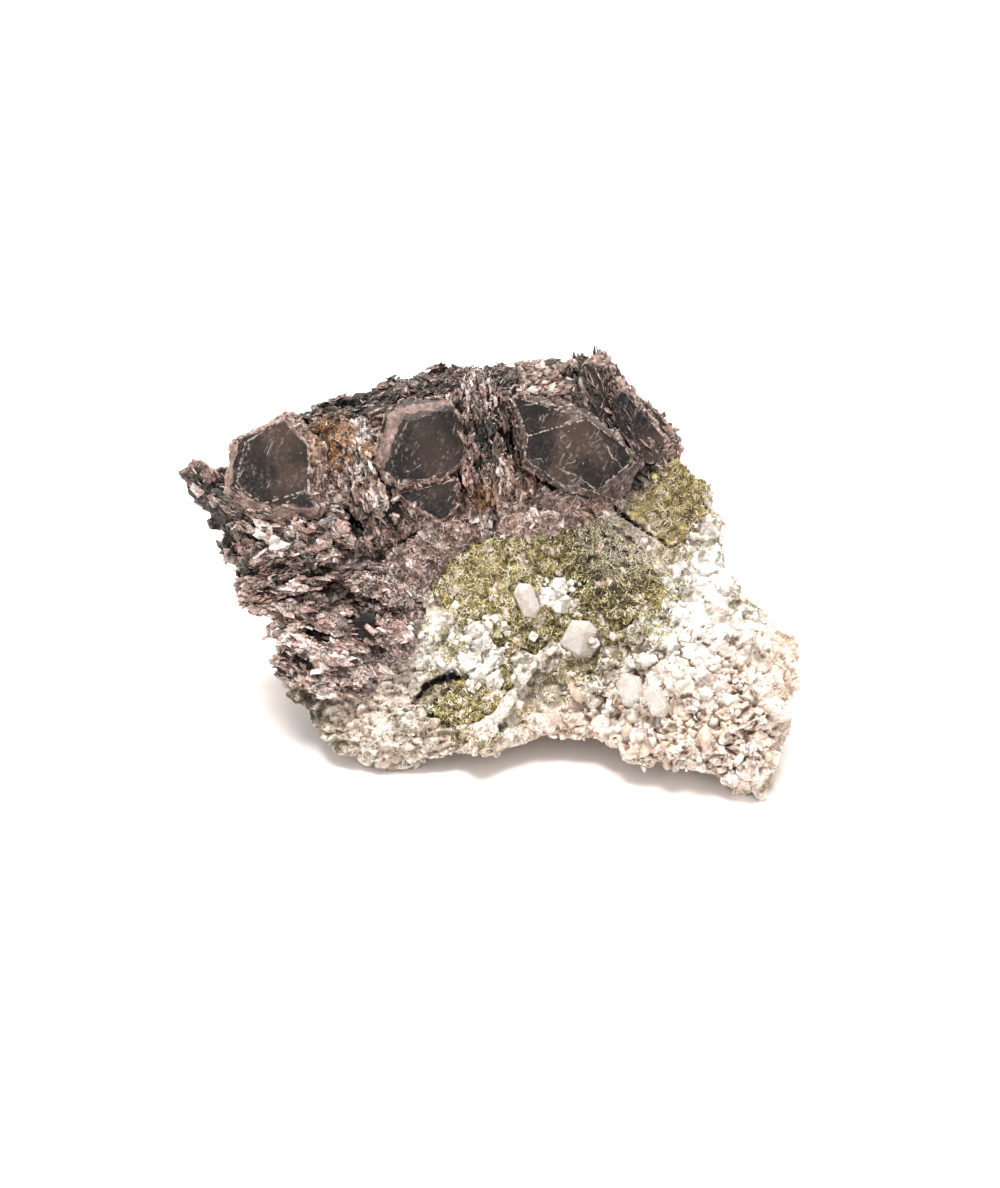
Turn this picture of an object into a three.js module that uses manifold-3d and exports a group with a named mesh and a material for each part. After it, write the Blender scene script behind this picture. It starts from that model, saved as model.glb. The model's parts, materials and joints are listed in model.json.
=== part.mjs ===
// Axinite on matrix: a hand specimen with bladed, clove-brown axinite crystals over a pale, granular
// albite rock, two olive crusts of epidote between them, and small quartz and adularia crystals on top.
//
// Everything is modelled in the frame of the display face, in millimetres: x to the right, y up the
// face and z out of it. The whole group is then leaned back by FACE_LEAN, so that the face looks up
// at a viewer and the feet stand on the ground at z = 0, with the origin under the middle of the box.

import * as THREE from 'three';
import { ConvexGeometry } from 'three/addons/geometries/ConvexGeometry.js';
import { ConvexHull } from 'three/addons/math/ConvexHull.js';
import { ImprovedNoise } from 'three/addons/math/ImprovedNoise.js';
import { mergeVertices } from 'three/addons/utils/BufferGeometryUtils.js';
import Module from 'manifold-3d';

const wasm = await Module();
wasm.setup();

// ---- Driving dimensions, in mm ----

const FACE_LEAN = THREE.MathUtils.degToRad(62);   // from lying on its back to its resting pose
const GROUND_DROP = 26.2;      // the ground lies this far below the display frame's origin
const SEAT_GAP = 0.3;          // clearance between crystals and the pockets that they sit in
const CONTACT_GAP = 0.45;      // the same, measured down z, along the slanting contact of the two rocks
const BODY_DETAIL = 8;         // how finely the rock's surface is divided
const RIM_DEPTH = -6;          // z of the rock's outline
const FRONT_SWELL = 3.5;       // how far the display face stands in front of the outline
const TOE = { whole: 8, right: 6.5 };          // how far the lower edge, and the lobe's, come forward
const BACK_DEPTH = 31;         // how far the rock reaches behind the outline
const BACK_TAPER = 0.2;        // how much narrower the back is than the front
const UNDERSIDE_GAP = 2.6;     // how far the underside hangs above the ground, between the feet
const ARCH = { x: 16, width: 13, height: 3.2 };   // where it hangs higher, under the lobe's neck
const SHOULDERS = { front: 0.4, back: 0.5 };   // powers that square off the body's edges: 1 is a ball
const UNEVENNESS = { coarse: 1.5, fine: 0.8, underside: 1.6 };   // heights of the rock's bumps
const BUMP_SIZE = { coarse: 11, fine: 4.2, underside: 7 };       // and how wide they are

// The rock's outline, seen square to its display face, counter-clockwise from the right.
const OUTLINE = [
  [52.0, -11.5], [51.2, -7.5], [48.0, -4.5], [45.5, -0.5], [41.5, 1.0], [40.5, 6.0], [41.3, 9.6],
  [39.5, 14.0], [37.8, 19.5], [34.5, 23.5], [31.5, 27.0], [28.0, 30.5], [24.5, 33.5], [20.0, 37.0],
  [16.5, 41.5], [12.5, 42.0], [8.0, 41.0], [-1.8, 41.0], [-9.0, 39.0], [-17.0, 37.2], [-27.6, 35.0],
  [-33.8, 32.0], [-42.0, 28.0], [-46.5, 23.5], [-49.5, 19.5], [-50.5, 16.5], [-48.5, 12.0],
  [-46.5, 8.0], [-44.0, 5.0], [-43.0, 1.6], [-41.5, -1.6], [-38.5, -3.8], [-39.0, -8.2],
  [-41.0, -12.6], [-35.6, -18.9], [-31.6, -25.0], [-29.6, -28.0], [-21.4, -29.8], [-15.1, -31.4],
  [-9.8, -29.2], [-5.3, -27.8], [-0.9, -29.4], [3.6, -27.6], [6.2, -25.2], [16.0, -27.4],
  [24.5, -29.2], [34.5, -30.6], [39.0, -33.6], [42.5, -36.0], [45.0, -34.8], [46.2, -31.5],
  [47.8, -26.5], [50.8, -17.0],
];
const OUTLINE_CENTRE = new THREE.Vector2(0, 4);

// Swellings and hollows of the display face: where, how wide and how high.
const RELIEF = [
  { x: 40, y: -14, width: 13, height: 3.5 },    // the lobe at the lower right
  { x: 9, y: -2, width: 9, height: -3.5 },      // the dip that the epidote fills
  { x: -2, y: -27, width: 4, height: 3 },       // the nose under the vein
  { x: -20, y: -24, width: 9, height: 2.5 },    // the lower left shoulder
  { x: 12, y: -19, width: 6, height: -2.5 },    // the hollow right of the vein
  { x: 33, y: 13, width: 8, height: -1.5 },     // behind the second epidote crust
];

// Flat breaks on the unseen sides: each is the direction that a break faces, and its distance from
// the display frame's origin. The rock is pressed back to them, short of a little unevenness.
const BREAKS = [
  { facing: [0.15, 0.2, -0.97], distance: 29.5 },
  { facing: [-0.72, 0.1, -0.69], distance: 41 },
  { facing: [0.7, 0.28, -0.66], distance: 40 },
  { facing: [-0.3, 0.78, -0.55], distance: 38 },
  { facing: [0.35, 0.8, -0.5], distance: 41 },
  { facing: [0.93, 0.1, -0.36], distance: 52 },
  { facing: [-0.5, -0.45, -0.74], distance: 34 },
];
const BREAK_UNEVENNESS = 0.22;   // how much of what stands over a break is left standing

// Each mineral's look, under the first word of its pieces' names, or a piece's whole name.
const LOOKS = {
  axinite: { color: 0x4a3a37, roughness: 0.35 },
  axinite_mass: { color: 0x7d625b, roughness: 0.7 },
  matrix: { color: 0xe3d9cc, roughness: 0.9 },
  epidote: { color: 0x8c8a4c, roughness: 0.85 },
  quartz: { color: 0xe8e4dc, roughness: 0.15 },
  adularia: { color: 0xf4f2ee, roughness: 0.5 },
};

// ---- Solids: closed geometry to manifold-3d and back ----

function solidFrom(geometry) {
  const bare = geometry.clone();
  bare.deleteAttribute('normal');
  bare.deleteAttribute('uv');
  const merged = mergeVertices(bare, 1e-3);
  return new wasm.Manifold(new wasm.Mesh({
    numProp: 3,
    vertProperties: merged.attributes.position.array,
    triVerts: new Uint32Array(merged.index.array),
  }));
}

// The biggest single body of a solid, as a geometry: crumbs that a cut leaves loose are dropped.
function geometryFrom(solid) {
  const bodies = solid.decompose();
  const biggest = bodies.reduce((a, b) => (a.volume() > b.volume() ? a : b));
  const mesh = biggest.getMesh();
  const geometry = new THREE.BufferGeometry();
  geometry.setAttribute('position', new THREE.BufferAttribute(new Float32Array(mesh.vertProperties), 3));
  geometry.setIndex(new THREE.BufferAttribute(new Uint32Array(mesh.triVerts), 1));
  geometry.computeVertexNormals();
  return geometry;
}

const joined = (solids) => solids.reduce((a, b) => a.add(b));

// ---- Small shared shapes ----

const noise = new ImprovedNoise();
const NOISE_OFFSET = new THREE.Vector3(7.3, -3.1, 1.7);

// Layered noise at a point: the first layer has features of the given size, each next one half of it.
function roughness(point, size, layers = 2) {
  let sum = 0;
  for (let layer = 0; layer < layers; layer++) {
    const frequency = 2 ** layer / size;
    const at = point.clone().multiplyScalar(frequency).add(NOISE_OFFSET);
    sum += noise.noise(at.x, at.y, at.z) / 2 ** layer;
  }
  return sum;
}

const bump = (x, y, { x: bx, y: by, width, height }) =>
  height * Math.exp(-((x - bx) ** 2 + (y - by) ** 2) / width ** 2);

// A closed convex crystal or lump. With room, it is enlarged until every face has moved out that far.
function hull(points, room = 0) {
  const middle = points.reduce((sum, p) => sum.add(p), new THREE.Vector3()).divideScalar(points.length);
  const faces = new ConvexHull().setFromPoints(points).faces;
  const nearest = Math.min(...faces.map((face) => Math.abs(face.distanceToPoint(middle))));
  const corners = points.map((p) => p.clone().sub(middle).multiplyScalar(1 + room / nearest).add(middle));
  return solidFrom(new ConvexGeometry(corners));
}

// The corners of an axe-edged crystal: a six-sided plate that rises to a short ridge on either side.
// at is its middle, along its long direction and face the direction that its flat side looks.
function blade({ at, along, face, size }) {
  const [length, width, thick] = size;
  const x = new THREE.Vector3(...along).normalize();
  const z = new THREE.Vector3(...face).addScaledVector(x, -x.dot(new THREE.Vector3(...face))).normalize();
  const y = new THREE.Vector3().crossVectors(z, x);
  const edge = [[0.5, 0.08], [0.3, 0.5], [-0.34, 0.44], [-0.5, -0.1], [-0.28, -0.5], [0.36, -0.46]];
  const ridge = [[0.3, 0.14], [-0.28, -0.1]];
  const place = ([a, b], c) => new THREE.Vector3(...at)
    .addScaledVector(x, a * length).addScaledVector(y, b * width).addScaledVector(z, c * thick);
  const ridges = [0.5, -0.5].flatMap((side) => ridge.map((p) => place(p, side)));
  return [...edge.map((p) => place(p, 0)), ...ridges];
}

// ---- The rock: one closed body, before the minerals are parted ----

// How far from the centre the outline lies in a given direction.
function outlineRadius(turn) {
  const ray = new THREE.Vector2(Math.cos(turn), Math.sin(turn));
  let radius = 0;
  OUTLINE.forEach(([x, y], i) => {
    const a = new THREE.Vector2(x, y).sub(OUTLINE_CENTRE);
    const next = OUTLINE[(i + 1) % OUTLINE.length];
    const side = new THREE.Vector2(...next).sub(OUTLINE_CENTRE).sub(a);
    const cross = ray.cross(side);
    const distance = a.cross(side) / cross;
    const share = a.cross(ray) / cross;
    if (share >= 0 && share <= 1 && distance > radius) radius = distance;
  });
  return radius;
}

// The front comes forward towards its lower edge, most of all at the lobe.
function forward(x, y) {
  const low = THREE.MathUtils.smoothstep(-y, 6, 30);
  const right = THREE.MathUtils.smoothstep(x, 12, 44) * THREE.MathUtils.smoothstep(-y, -8, 24);
  return TOE.whole * low + TOE.right * right;
}

const groundHeight = (z) => (-GROUND_DROP - z * Math.cos(FACE_LEAN)) / Math.sin(FACE_LEAN);

// The point of the rock's surface in a direction: the outline swept forward and back, made uneven,
// pressed back to the breaks and kept clear of the ground.
function rockPoint(direction) {
  const turn = Math.atan2(direction.y, direction.x);
  const side = Math.hypot(direction.x, direction.y);
  const front = direction.z > 0;
  const depth = Math.abs(direction.z);
  const taper = front ? 1 : 1 - BACK_TAPER * depth ** 1.3;
  const radius = outlineRadius(turn) * taper * side ** (front ? SHOULDERS.front : SHOULDERS.back);
  const x = OUTLINE_CENTRE.x + radius * Math.cos(turn);
  const y = OUTLINE_CENTRE.y + radius * Math.sin(turn);
  const swell = front ? FRONT_SWELL * depth ** 0.5 : -BACK_DEPTH * depth ** 0.7;
  const relief = front ? RELIEF.reduce((sum, r) => sum + bump(x, y, r), 0) * Math.min(1, depth * 3) : 0;
  const point = new THREE.Vector3(x, y, RIM_DEPTH + forward(x, y) + swell + relief);

  const rough = UNEVENNESS.coarse * roughness(point, BUMP_SIZE.coarse, 2)
    + UNEVENNESS.fine * roughness(point, BUMP_SIZE.fine, 1);
  point.addScaledVector(direction, rough);
  for (const { facing, distance } of BREAKS) {
    const away = new THREE.Vector3(...facing).normalize();
    const over = point.dot(away) - distance;
    if (over > 0) point.addScaledVector(away, -over * (1 - BREAK_UNEVENNESS));
  }

  const clear = UNDERSIDE_GAP + ARCH.height * Math.exp(-(((point.x - ARCH.x) / ARCH.width) ** 2))
    + UNEVENNESS.underside * roughness(point, BUMP_SIZE.underside, 1);
  point.y = Math.max(point.y, groundHeight(point.z) + clear);
  return point;
}

function rockBody() {
  const sphere = new THREE.IcosahedronGeometry(1, BODY_DETAIL);
  sphere.deleteAttribute('normal');
  sphere.deleteAttribute('uv');
  const geometry = mergeVertices(sphere, 1e-4);
  const position = geometry.attributes.position;
  const direction = new THREE.Vector3();
  for (let i = 0; i < position.count; i++) {
    const point = rockPoint(direction.fromBufferAttribute(position, i));
    position.setXYZ(i, point.x, point.y, point.z);
  }
  return solidFrom(geometry);
}

// A rounded lump: a coarse, uneven ball squashed to its three half sizes.
function lump([x, y, z], [rx, ry, rz], detail = 0) {
  const ball = new THREE.IcosahedronGeometry(1, detail);
  const position = ball.attributes.position;
  const p = new THREE.Vector3();
  for (let i = 0; i < position.count; i++) {
    p.fromBufferAttribute(position, i);
    const here = p.clone().multiplyScalar(2).add(new THREE.Vector3(x, y, z));
    p.multiplyScalar(1 + 0.45 * roughness(here, 1.7, 1));
    position.setXYZ(i, p.x, p.y, p.z);
  }
  ball.rotateX(x).rotateY(y).scale(rx, ry, rz).translate(x, y, z);
  return solidFrom(ball);
}

// A row of blades grown side by side: they run from the first place to the last and turn as they go.
function sheaf({ count, from, to, along, alongTo = along, face, faceTo = face, size, vary = 0.25 }) {
  const mix = (a, b, share) => a.map((value, i) => THREE.MathUtils.lerp(value, b[i], share));
  return Array.from({ length: count }, (_, i) => {
    const share = count > 1 ? i / (count - 1) : 0.5;
    const at = mix(from, to, share);
    const wobble = (k) => noise.noise(i * 1.37 + k, at[0] * 0.31 + k, at[1] * 0.29 - k);
    return blade({
      at: at.map((value, k) => value + vary * 2.2 * wobble(k + 1)),
      along: mix(along, alongTo, share).map((value, k) => value + vary * wobble(k + 5)),
      face: mix(face, faceTo, share).map((value, k) => value + vary * wobble(k + 9)),
      size: size.map((value, k) => value * (1 + vary * 1.2 * wobble(k + 13))),
    });
  });
}

// A tabular crystal seen on its flat face: the face outline, then wider and deeper rings behind it.
// Each ring is [scale, z]; tilt turns them about x and y, in radians. Bevels are further corners,
// counted from the crystal's place but not turned.
function tablet({ at, outline, rings, tilt: [tiltX, tiltY], bevels = [] }) {
  const turn = new THREE.Euler(tiltX, tiltY, 0);
  const corners = rings.flatMap(([scale, z]) => outline.map(([x, y]) =>
    new THREE.Vector3(x * scale, y * scale, z).applyEuler(turn)));
  corners.push(...bevels.map((corner) => new THREE.Vector3(...corner)));
  return corners.map((corner) => corner.add(new THREE.Vector3(...at)));
}

// ---- The large axinite crystals, each a solid of its own in its pocket ----

const CRYSTALS = {
  axinite_crystal_left: [
    tablet({
      at: [-40.2, 23.6, 1.0], tilt: [-0.08, -0.16],
      outline: [[-5.4, 3.4], [1.8, 7.4], [6.4, 2.4], [6.6, -5.4], [-1.6, -7.6], [-7.0, -4.4]],
      rings: [[1, 0], [1.1, -1.4], [1.3, -4.6], [1.05, -8.4]],
      bevels: [
        [-9.2, -5.4, -1.4], [-8.0, 3.6, -2.0], [2.2, 9.0, -2.4], [-3.4, -10.6, -1.2], [8.0, -10.2, -1.6],
      ],
    }),
  ],
  axinite_crystal_middle: [
    tablet({
      at: [-13.0, 25.8, 1.6], tilt: [-0.1, 0.1],
      outline: [[-3.0, 5.0], [3.6, 7.0], [6.4, 4.8], [6.6, -2.4], [2.6, -5.4], [-4.4, -6.6], [-6.0, -3.0]],
      rings: [[1, 0], [1.05, -0.8], [1.0, -9]],
      bevels: [
        [-7.6, 6.4, -1.2], [-3.6, 9.4, -1.8], [-9.6, -2.4, -1.2], [-7.6, -5.6, -1.2], [3.8, 9.0, -2.0],
        [-8.0, 2.0, -9],
      ],
    }),
    tablet({
      at: [-12.2, 17.0, 0.8], tilt: [0.35, 0.05],
      outline: [[-5.4, 0.8], [4.6, 3.2], [4.4, -1.6], [1.6, -4.4], [-2.4, -1.8]],
      rings: [[1, 0], [1.1, -1.2], [0.9, -7]],
    }),
  ],
  axinite_crystal_right: [
    tablet({
      at: [13.8, 24.4, 1.8], tilt: [-0.06, -0.02],
      outline: [
        [-9.0, 3.6], [1.6, 6.6], [8.4, 1.6], [9.4, -1.2],
        [6.6, -3.4], [3.0, -6.4], [-3.0, -5.2], [-9.4, -0.8],
      ],
      rings: [[1, 0], [1.04, -1.2], [0.95, -10]],
      bevels: [
        [-11.6, 11.4, -4.2], [-2.2, 11.2, -4.6], [2.2, 8.0, -2.6], [11.8, -1.0, -3.0], [7.2, -8.2, -2.8],
        [-11.2, 4.0, -3.4], [-9.0, 10.0, -11], [0.0, 10.0, -11],
      ],
    }),
  ],
  axinite_crystals_top: [
    blade({
      at: [17.6, 35.0, -5.4], along: [0.16, 0.97, -0.1], face: [0.45, -0.1, 0.9],
      size: [21, 8.5, 5],
    }),
    blade({
      at: [13.6, 36.4, -7.6], along: [0.3, 0.9, -0.1], face: [-0.1, 0.35, 0.9],
      size: [17, 10, 4],
    }),
    blade({
      at: [20.4, 32.8, -5.8], along: [0.35, 0.9, -0.2], face: [0.9, 0.1, 0.5],
      size: [16, 8, 4.5],
    }),
    blade({ at: [16.6, 38.0, -15.0], along: [0.1, 0.9, -0.5], face: [0.2, 0.5, -0.4], size: [15, 9, 5] }),
  ],
  axinite_crystals_far_right: [
    blade({
      at: [24.8, 31.4, -4.4], along: [0.52, -0.84, 0.1], face: [0.35, 0.25, 0.9],
      size: [19, 8, 5.5],
    }),
    blade({
      at: [28.6, 30.4, -6.8], along: [0.55, -0.8, 0.0], face: [0.6, 0.45, 0.6],
      size: [15, 8, 4.5],
    }),
    blade({ at: [26.4, 28.0, -9.0], along: [0.4, -0.9, 0.1], face: [-0.2, 0.1, 0.9], size: [16, 9, 5] }),
    blade({
      at: [24.2, 34.4, -12.0], along: [0.6, -0.7, -0.3], face: [0.3, 0.8, 0.1],
      size: [13, 9, 4.5],
    }),
  ],
};

// ---- The bladed axinite between and around them, grown into one mass ----

const SHEAVES = [
  // the stacked plates of the left tip, stepping down to the right
  {
    count: 5, from: [-51.8, 18.2, -4], to: [-43.8, 7.6, -2],
    along: [0.75, -0.6, 0.1], alongTo: [0.85, -0.4, 0.2], face: [-0.25, -0.45, 0.75],
    size: [14, 8, 2.4],
  },
  {
    count: 2, from: [-49.0, 18.0, -9.5], to: [-45.0, 11.0, -12],
    along: [0.8, -0.5, 0], face: [0.1, 0.5, -0.6],
    size: [13, 10, 4],
  },
  // the long plates below it, seen on edge
  {
    count: 4, from: [-38.0, 7.2, -1.2], to: [-38.0, -1.0, -0.6],
    along: [0.96, 0.3, 0.1], alongTo: [0.98, 0.1, 0.15], face: [-0.15, 0.85, 0.4],
    size: [19, 9, 2.2],
  },
  // the open lamellae of the lower left, which curve down to the right
  {
    count: 4, from: [-31.5, -4.4, 1.0], to: [-32.0, -14.5, 1.4],
    along: [0.97, -0.12, 0.15], alongTo: [0.9, -0.38, 0.1], face: [0.05, 0.8, 0.5],
    size: [19, 8, 2.3],
  },
  {
    count: 3, from: [-21.5, 1.0, 0.0], to: [-18.5, -8.0, 1.4],
    along: [0.9, -0.35, 0.1], alongTo: [0.85, -0.5, 0.1], face: [0.1, 0.7, 0.7],
    size: [13, 7, 2.2],
  },
  // blades on edge between the left and the middle crystal
  {
    count: 3, from: [-25.6, 23.6, -0.8], to: [-21.8, 21.4, -1],
    along: [0.25, -0.95, 0.05], face: [0.9, 0.15, 0.45],
    size: [18, 6.5, 1.9],
  },
  // upright blades between the middle and the right crystal
  {
    count: 4, from: [-4.6, 27.2, -1.0], to: [0.6, 25.5, -0.8],
    along: [0.1, -0.98, 0.05], face: [0.95, 0.1, 0.3],
    size: [23, 7, 2.0],
  },
  // plates lying along the ridge, left and right
  {
    count: 3, from: [-33.0, 32.0, -5.5], to: [-14.0, 38.0, -6.5],
    along: [0.92, 0.35, 0], face: [-0.3, 0.8, 0.5],
    size: [17, 8, 2.6],
  },
  {
    count: 2, from: [-4.0, 39.6, -7], to: [7.5, 39.8, -7],
    along: [0.9, 0.1, 0.1], face: [-0.1, 0.7, 0.7],
    size: [14, 8, 2.8],
  },
  // the rim under the large crystals
  {
    count: 2, from: [-38.5, 13.0, -0.6], to: [-28.0, 11.4, -0.2],
    along: [0.9, -0.3, 0.1], face: [0.2, 0.5, 0.8],
    size: [12, 5.5, 2.0],
  },
  {
    count: 3, from: [-6.0, 12.4, -1.4], to: [18.0, 12.8, -1.4],
    along: [0.9, 0.3, 0.1], alongTo: [0.8, -0.5, 0], face: [0.1, -0.4, 0.9],
    size: [11, 5, 2.0],
  },
  // rough plates of the right shoulder
  {
    count: 3, from: [30.0, 27.2, -5.0], to: [34.6, 22.0, -4.6],
    along: [0.5, 0.75, 0.2], face: [0.6, -0.1, 0.7],
    size: [9, 7, 2.8],
  },
  // plates on the back of the ridge
  {
    count: 3, from: [-34.0, 26.0, -15], to: [-8.0, 32.0, -18],
    along: [0.9, 0.2, -0.1], face: [-0.1, 0.7, -0.6],
    size: [19, 10, 4],
  },
];

// ---- The granular matrix: lumps fused to the lobe, and the feet that it stands on ----

const FEET = [
  { at: [-20.0, -26.4, 0.5], radii: [8.5, 6.0, 5.5] },
  { at: [43.0, -32.0, 6.4], radii: [4.2, 4.6, 4.4] },
  { at: [-8.0, -10.5, -27.0], radii: [11.0, 6.5, 6.0] },
  { at: [22.0, -13.0, -23.0], radii: [8.0, 6.0, 6.0] },
];
// The raised vein that crosses the face between the lower crust and the lobe: short blocks in a chain.
const VEIN = [
  { at: [7.6, -10.4, -0.6], along: [0.75, 0.62, -0.2], face: [-0.5, 0.5, 0.7], size: [7, 3.6, 3.4] },
  { at: [3.8, -14.6, 1.0], along: [0.62, 0.75, -0.2], face: [-0.5, 0.5, 0.7], size: [7.5, 3.8, 3.6] },
  { at: [0.4, -19.6, 4.0], along: [0.5, 0.82, -0.3], face: [-0.6, 0.4, 0.7], size: [8, 4.2, 4] },
  { at: [-3.0, -24.4, 6.4], along: [0.5, 0.85, -0.2], face: [-0.6, 0.4, 0.7], size: [8, 5, 5] },
];

// Open cracks and the small cave, each cut out as one wedge: a slit's mouth, then its edge deep inside.
const CUTS = [
  // the crack between the second crust and the matrix
  [[20.6, 15.6, 6], [31.0, 9.0, 6], [20.2, 15.0, 6], [30.6, 8.4, 6], [21, 15.2, -7], [30.6, 9.2, -7]],
  // the crack under the right crystal
  [[2.6, 23.0, 6], [11.4, 19.2, 6], [2.2, 22.2, 6], [11.2, 18.2, 6], [3, 22.4, -6], [11, 18.8, -6]],
  // the upright gap in the mass below it
  [[-1.6, 17.5, 6], [-1.0, 10.5, 6], [-0.8, 17.5, 6], [-0.2, 10.5, 6], [-1.2, 17, -6], [-0.6, 11, -6]],
  // the cave under the left adularia
  [
    [-14.4, -17.6, 9], [-7.2, -12.4, 9], [-13.6, -18.8, 9], [-6.4, -14.8, 9],
    [-12.8, -16.4, -3.5], [-8.0, -13.6, -3.5],
  ],
];

const LOBE_LUMPS = { columns: 7, rows: 4, low: [7, -26], high: [48, -2], size: [1.9, 3.6] };

// The z of the rock's display face at a point of the display frame, found by a ray down the z axis.
function faceDepth(surface, x, y) {
  const ray = new THREE.Raycaster(new THREE.Vector3(x, y, 60), new THREE.Vector3(0, 0, -1));
  const hit = ray.intersectObject(surface)[0];
  return hit ? hit.point.z : null;
}

// Rounded lumps of albite, set in a loose grid over the lobe's face.
function lobeLumps(surface) {
  const { columns, rows, low, high, size } = LOBE_LUMPS;
  const lumps = [];
  for (let row = 0; row < rows; row++) {
    for (let column = 0; column < columns; column++) {
      const seed = new THREE.Vector3(column * 1.31, row * 1.73, 0.5);
      const across = (column + 0.5 * (row % 2) + 0.5 * roughness(seed, 1.9, 1)) / columns;
      const up = (row + 0.5 + 0.5 * roughness(seed, 1.3, 1)) / rows;
      const x = THREE.MathUtils.lerp(low[0], high[0], across);
      const y = THREE.MathUtils.lerp(low[1], high[1], up) - 0.12 * (x - low[0]);
      const depth = faceDepth(surface, x, y);
      if (depth === null || insideOutline(CRUSTS.epidote_crust_centre.outline, x, y)) continue;
      const radius = THREE.MathUtils.lerp(size[0], size[1], 0.5 + 0.9 * roughness(seed, 0.77, 1));
      lumps.push(lump([x, y, depth - 0.2], [radius * 1.1, radius, radius * 0.9]));
    }
  }
  return lumps;
}

// ---- The epidote: two crusts let into the rock's face ----

// Each crust's outline on the face, and its flat floor: its z at y = 0, and how it rises with y.
const CRUSTS = {
  epidote_crust_centre: {
    outline: [
      [-12.4, 4.6], [-10.8, 9], [-2, 13], [10, 13.6], [19, 13.2], [21.4, 11.2], [25.2, 8.2], [27.4, 5.4],
      [30.2, 0.9], [28.4, -2.6], [25.2, -3.4], [21.6, -6.4], [17.2, -5.6], [12.5, -8.6], [9.4, -8.0],
      [6.3, -10.9], [2.6, -8.8], [0, -9.6], [-3.4, -6.4], [-6.8, -6.8], [-8.2, -3.2], [-11.7, -1.2],
    ],
    floor: [-5.2, 0],
  },
  epidote_crust_lower: {
    outline: [[-12.5, -20.4], [-5.4, -13.9], [1.6, -11.8], [2.4, -16.3], [-1.8, -21], [-8, -22.9]],
    floor: [-7.3, -0.36],
  },
  epidote_crust_right: {
    outline: [
      [22.6, 15.2], [24, 20], [31, 24], [37.4, 25.4], [38.6, 20.8], [36.2, 18.4], [37.6, 14.2],
      [34.6, 12.6], [33.8, 9.0], [31.0, 9.0], [27.7, 10.8],
    ],
    floor: [-6.6, 0],
  },
};

function insideOutline(outline, x, y) {
  let inside = false;
  outline.forEach(([ax, ay], i) => {
    const [bx, by] = outline[(i + 1) % outline.length];
    if ((ay > y) !== (by > y) && x < ax + ((y - ay) / (by - ay)) * (bx - ax)) inside = !inside;
  });
  return inside;
}

// A tall column over a crust's outline, from its floor up, widened by room.
function column({ outline, floor: [height, rise] }, room) {
  const shape = new THREE.Shape(outline.map(([x, y]) => new THREE.Vector2(x, y)));
  const geometry = new THREE.ExtrudeGeometry(shape, {
    depth: 60, bevelEnabled: room > 0, bevelSize: room, bevelThickness: 0.01, bevelSegments: 1,
  });
  const position = geometry.attributes.position;
  for (let i = 0; i < position.count; i++) {
    if (position.getZ(i) > 30) continue;
    position.setZ(i, height + rise * position.getY(i) - room + 0.5 * position.getZ(i));
  }
  return solidFrom(geometry);
}

// ---- Where the axinite ends and the matrix begins: a sheet that dips steeply, then runs to the back ----

// The lower edge of the axinite on the display face, left to right.
const CONTACT_LINE = [
  [-66, -14], [-43, -13.5], [-34, -17.5], [-24, -17], [-17, -11], [-12, -1], [-5, 6.5], [0, 8.8],
  [19, 9.6], [24, 15], [30, 19.5], [38, 23.5], [66, 26],
];
const CONTACT_DIP = 19;        // how deep under the face the sheet lies, far from its edge

function contactLineHeight(x) {
  const next = Math.max(1, CONTACT_LINE.findIndex(([lineX]) => lineX >= x));
  const [ax, ay] = CONTACT_LINE[next - 1];
  const [bx, by] = CONTACT_LINE[next];
  return THREE.MathUtils.mapLinear(x, ax, bx, ay, by);
}

function contactDepth(x, y) {
  const inside = y - contactLineHeight(x);
  const depth = inside > 0 ? -CONTACT_DIP * (1 - Math.exp(-inside / 15)) : -1.3 * inside;
  return depth + 1.5 * roughness(new THREE.Vector3(x, y, 0), 13, 1);
}

function axiniteSide(retreat = 0) {
  const block = new THREE.BoxGeometry(130, 90, 60, 16, 11, 1);
  block.translate(0, 15, 0);
  const position = block.attributes.position;
  for (let i = 0; i < position.count; i++) {
    const low = position.getZ(i) < 0;
    position.setZ(i, low ? contactDepth(position.getX(i), position.getY(i)) - retreat : 60);
  }
  return solidFrom(block);
}

// ---- Quartz and adularia: small clear and white crystals on the crust and the lobe ----

// Each quartz crystal's place on the face, how far its middle stands out of it, and how it lies.
const QUARTZ = {
  quartz_crystal_upper: {
    x: 4.9, y: -1.2, out: 0.9, along: [-0.35, 0.9, 0.3], face: [0.1, -0.2, 0.95], size: [7.5, 3.8, 3.4],
  },
  quartz_crystal_middle: {
    x: 14.6, y: -8.2, out: 0.8, along: [0.5, 0.8, 0.2], face: [0.0, -0.3, 0.95], size: [7.5, 7.0, 4.8],
  },
  quartz_crystal_lower_left: {
    x: 22.8, y: -16.8, out: 1.4, along: [0.1, -0.95, 0.3], face: [0, 0.2, 0.95], size: [6.6, 4.6, 4.2],
  },
  quartz_crystal_lower_right: {
    x: 26.9, y: -18.4, out: 1.4, along: [0.3, -0.9, 0.3], face: [0.2, 0.2, 0.95], size: [6.2, 4.0, 4.0],
  },
};
// The places of each adularia cluster's crystals on the face.
const ADULARIA = {
  adularia_cluster_upper: [[8.6, -0.4], [10.8, 1.2], [11.0, -1.6]],
  adularia_cluster_left: [[-4.6, -6.4], [-2.8, -9.0], [-0.8, -11.6]],
  adularia_cluster_lower: [[-3.4, -14.4], [-1.0, -15.4], [-5.4, -12.2]],
};
const ADULARIA_SIZE = [4.2, 3.4, 2.6];
const ADULARIA_OUT = 0.1;      // how far their middles stand out of the face

// ---- Putting it together ----

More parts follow.
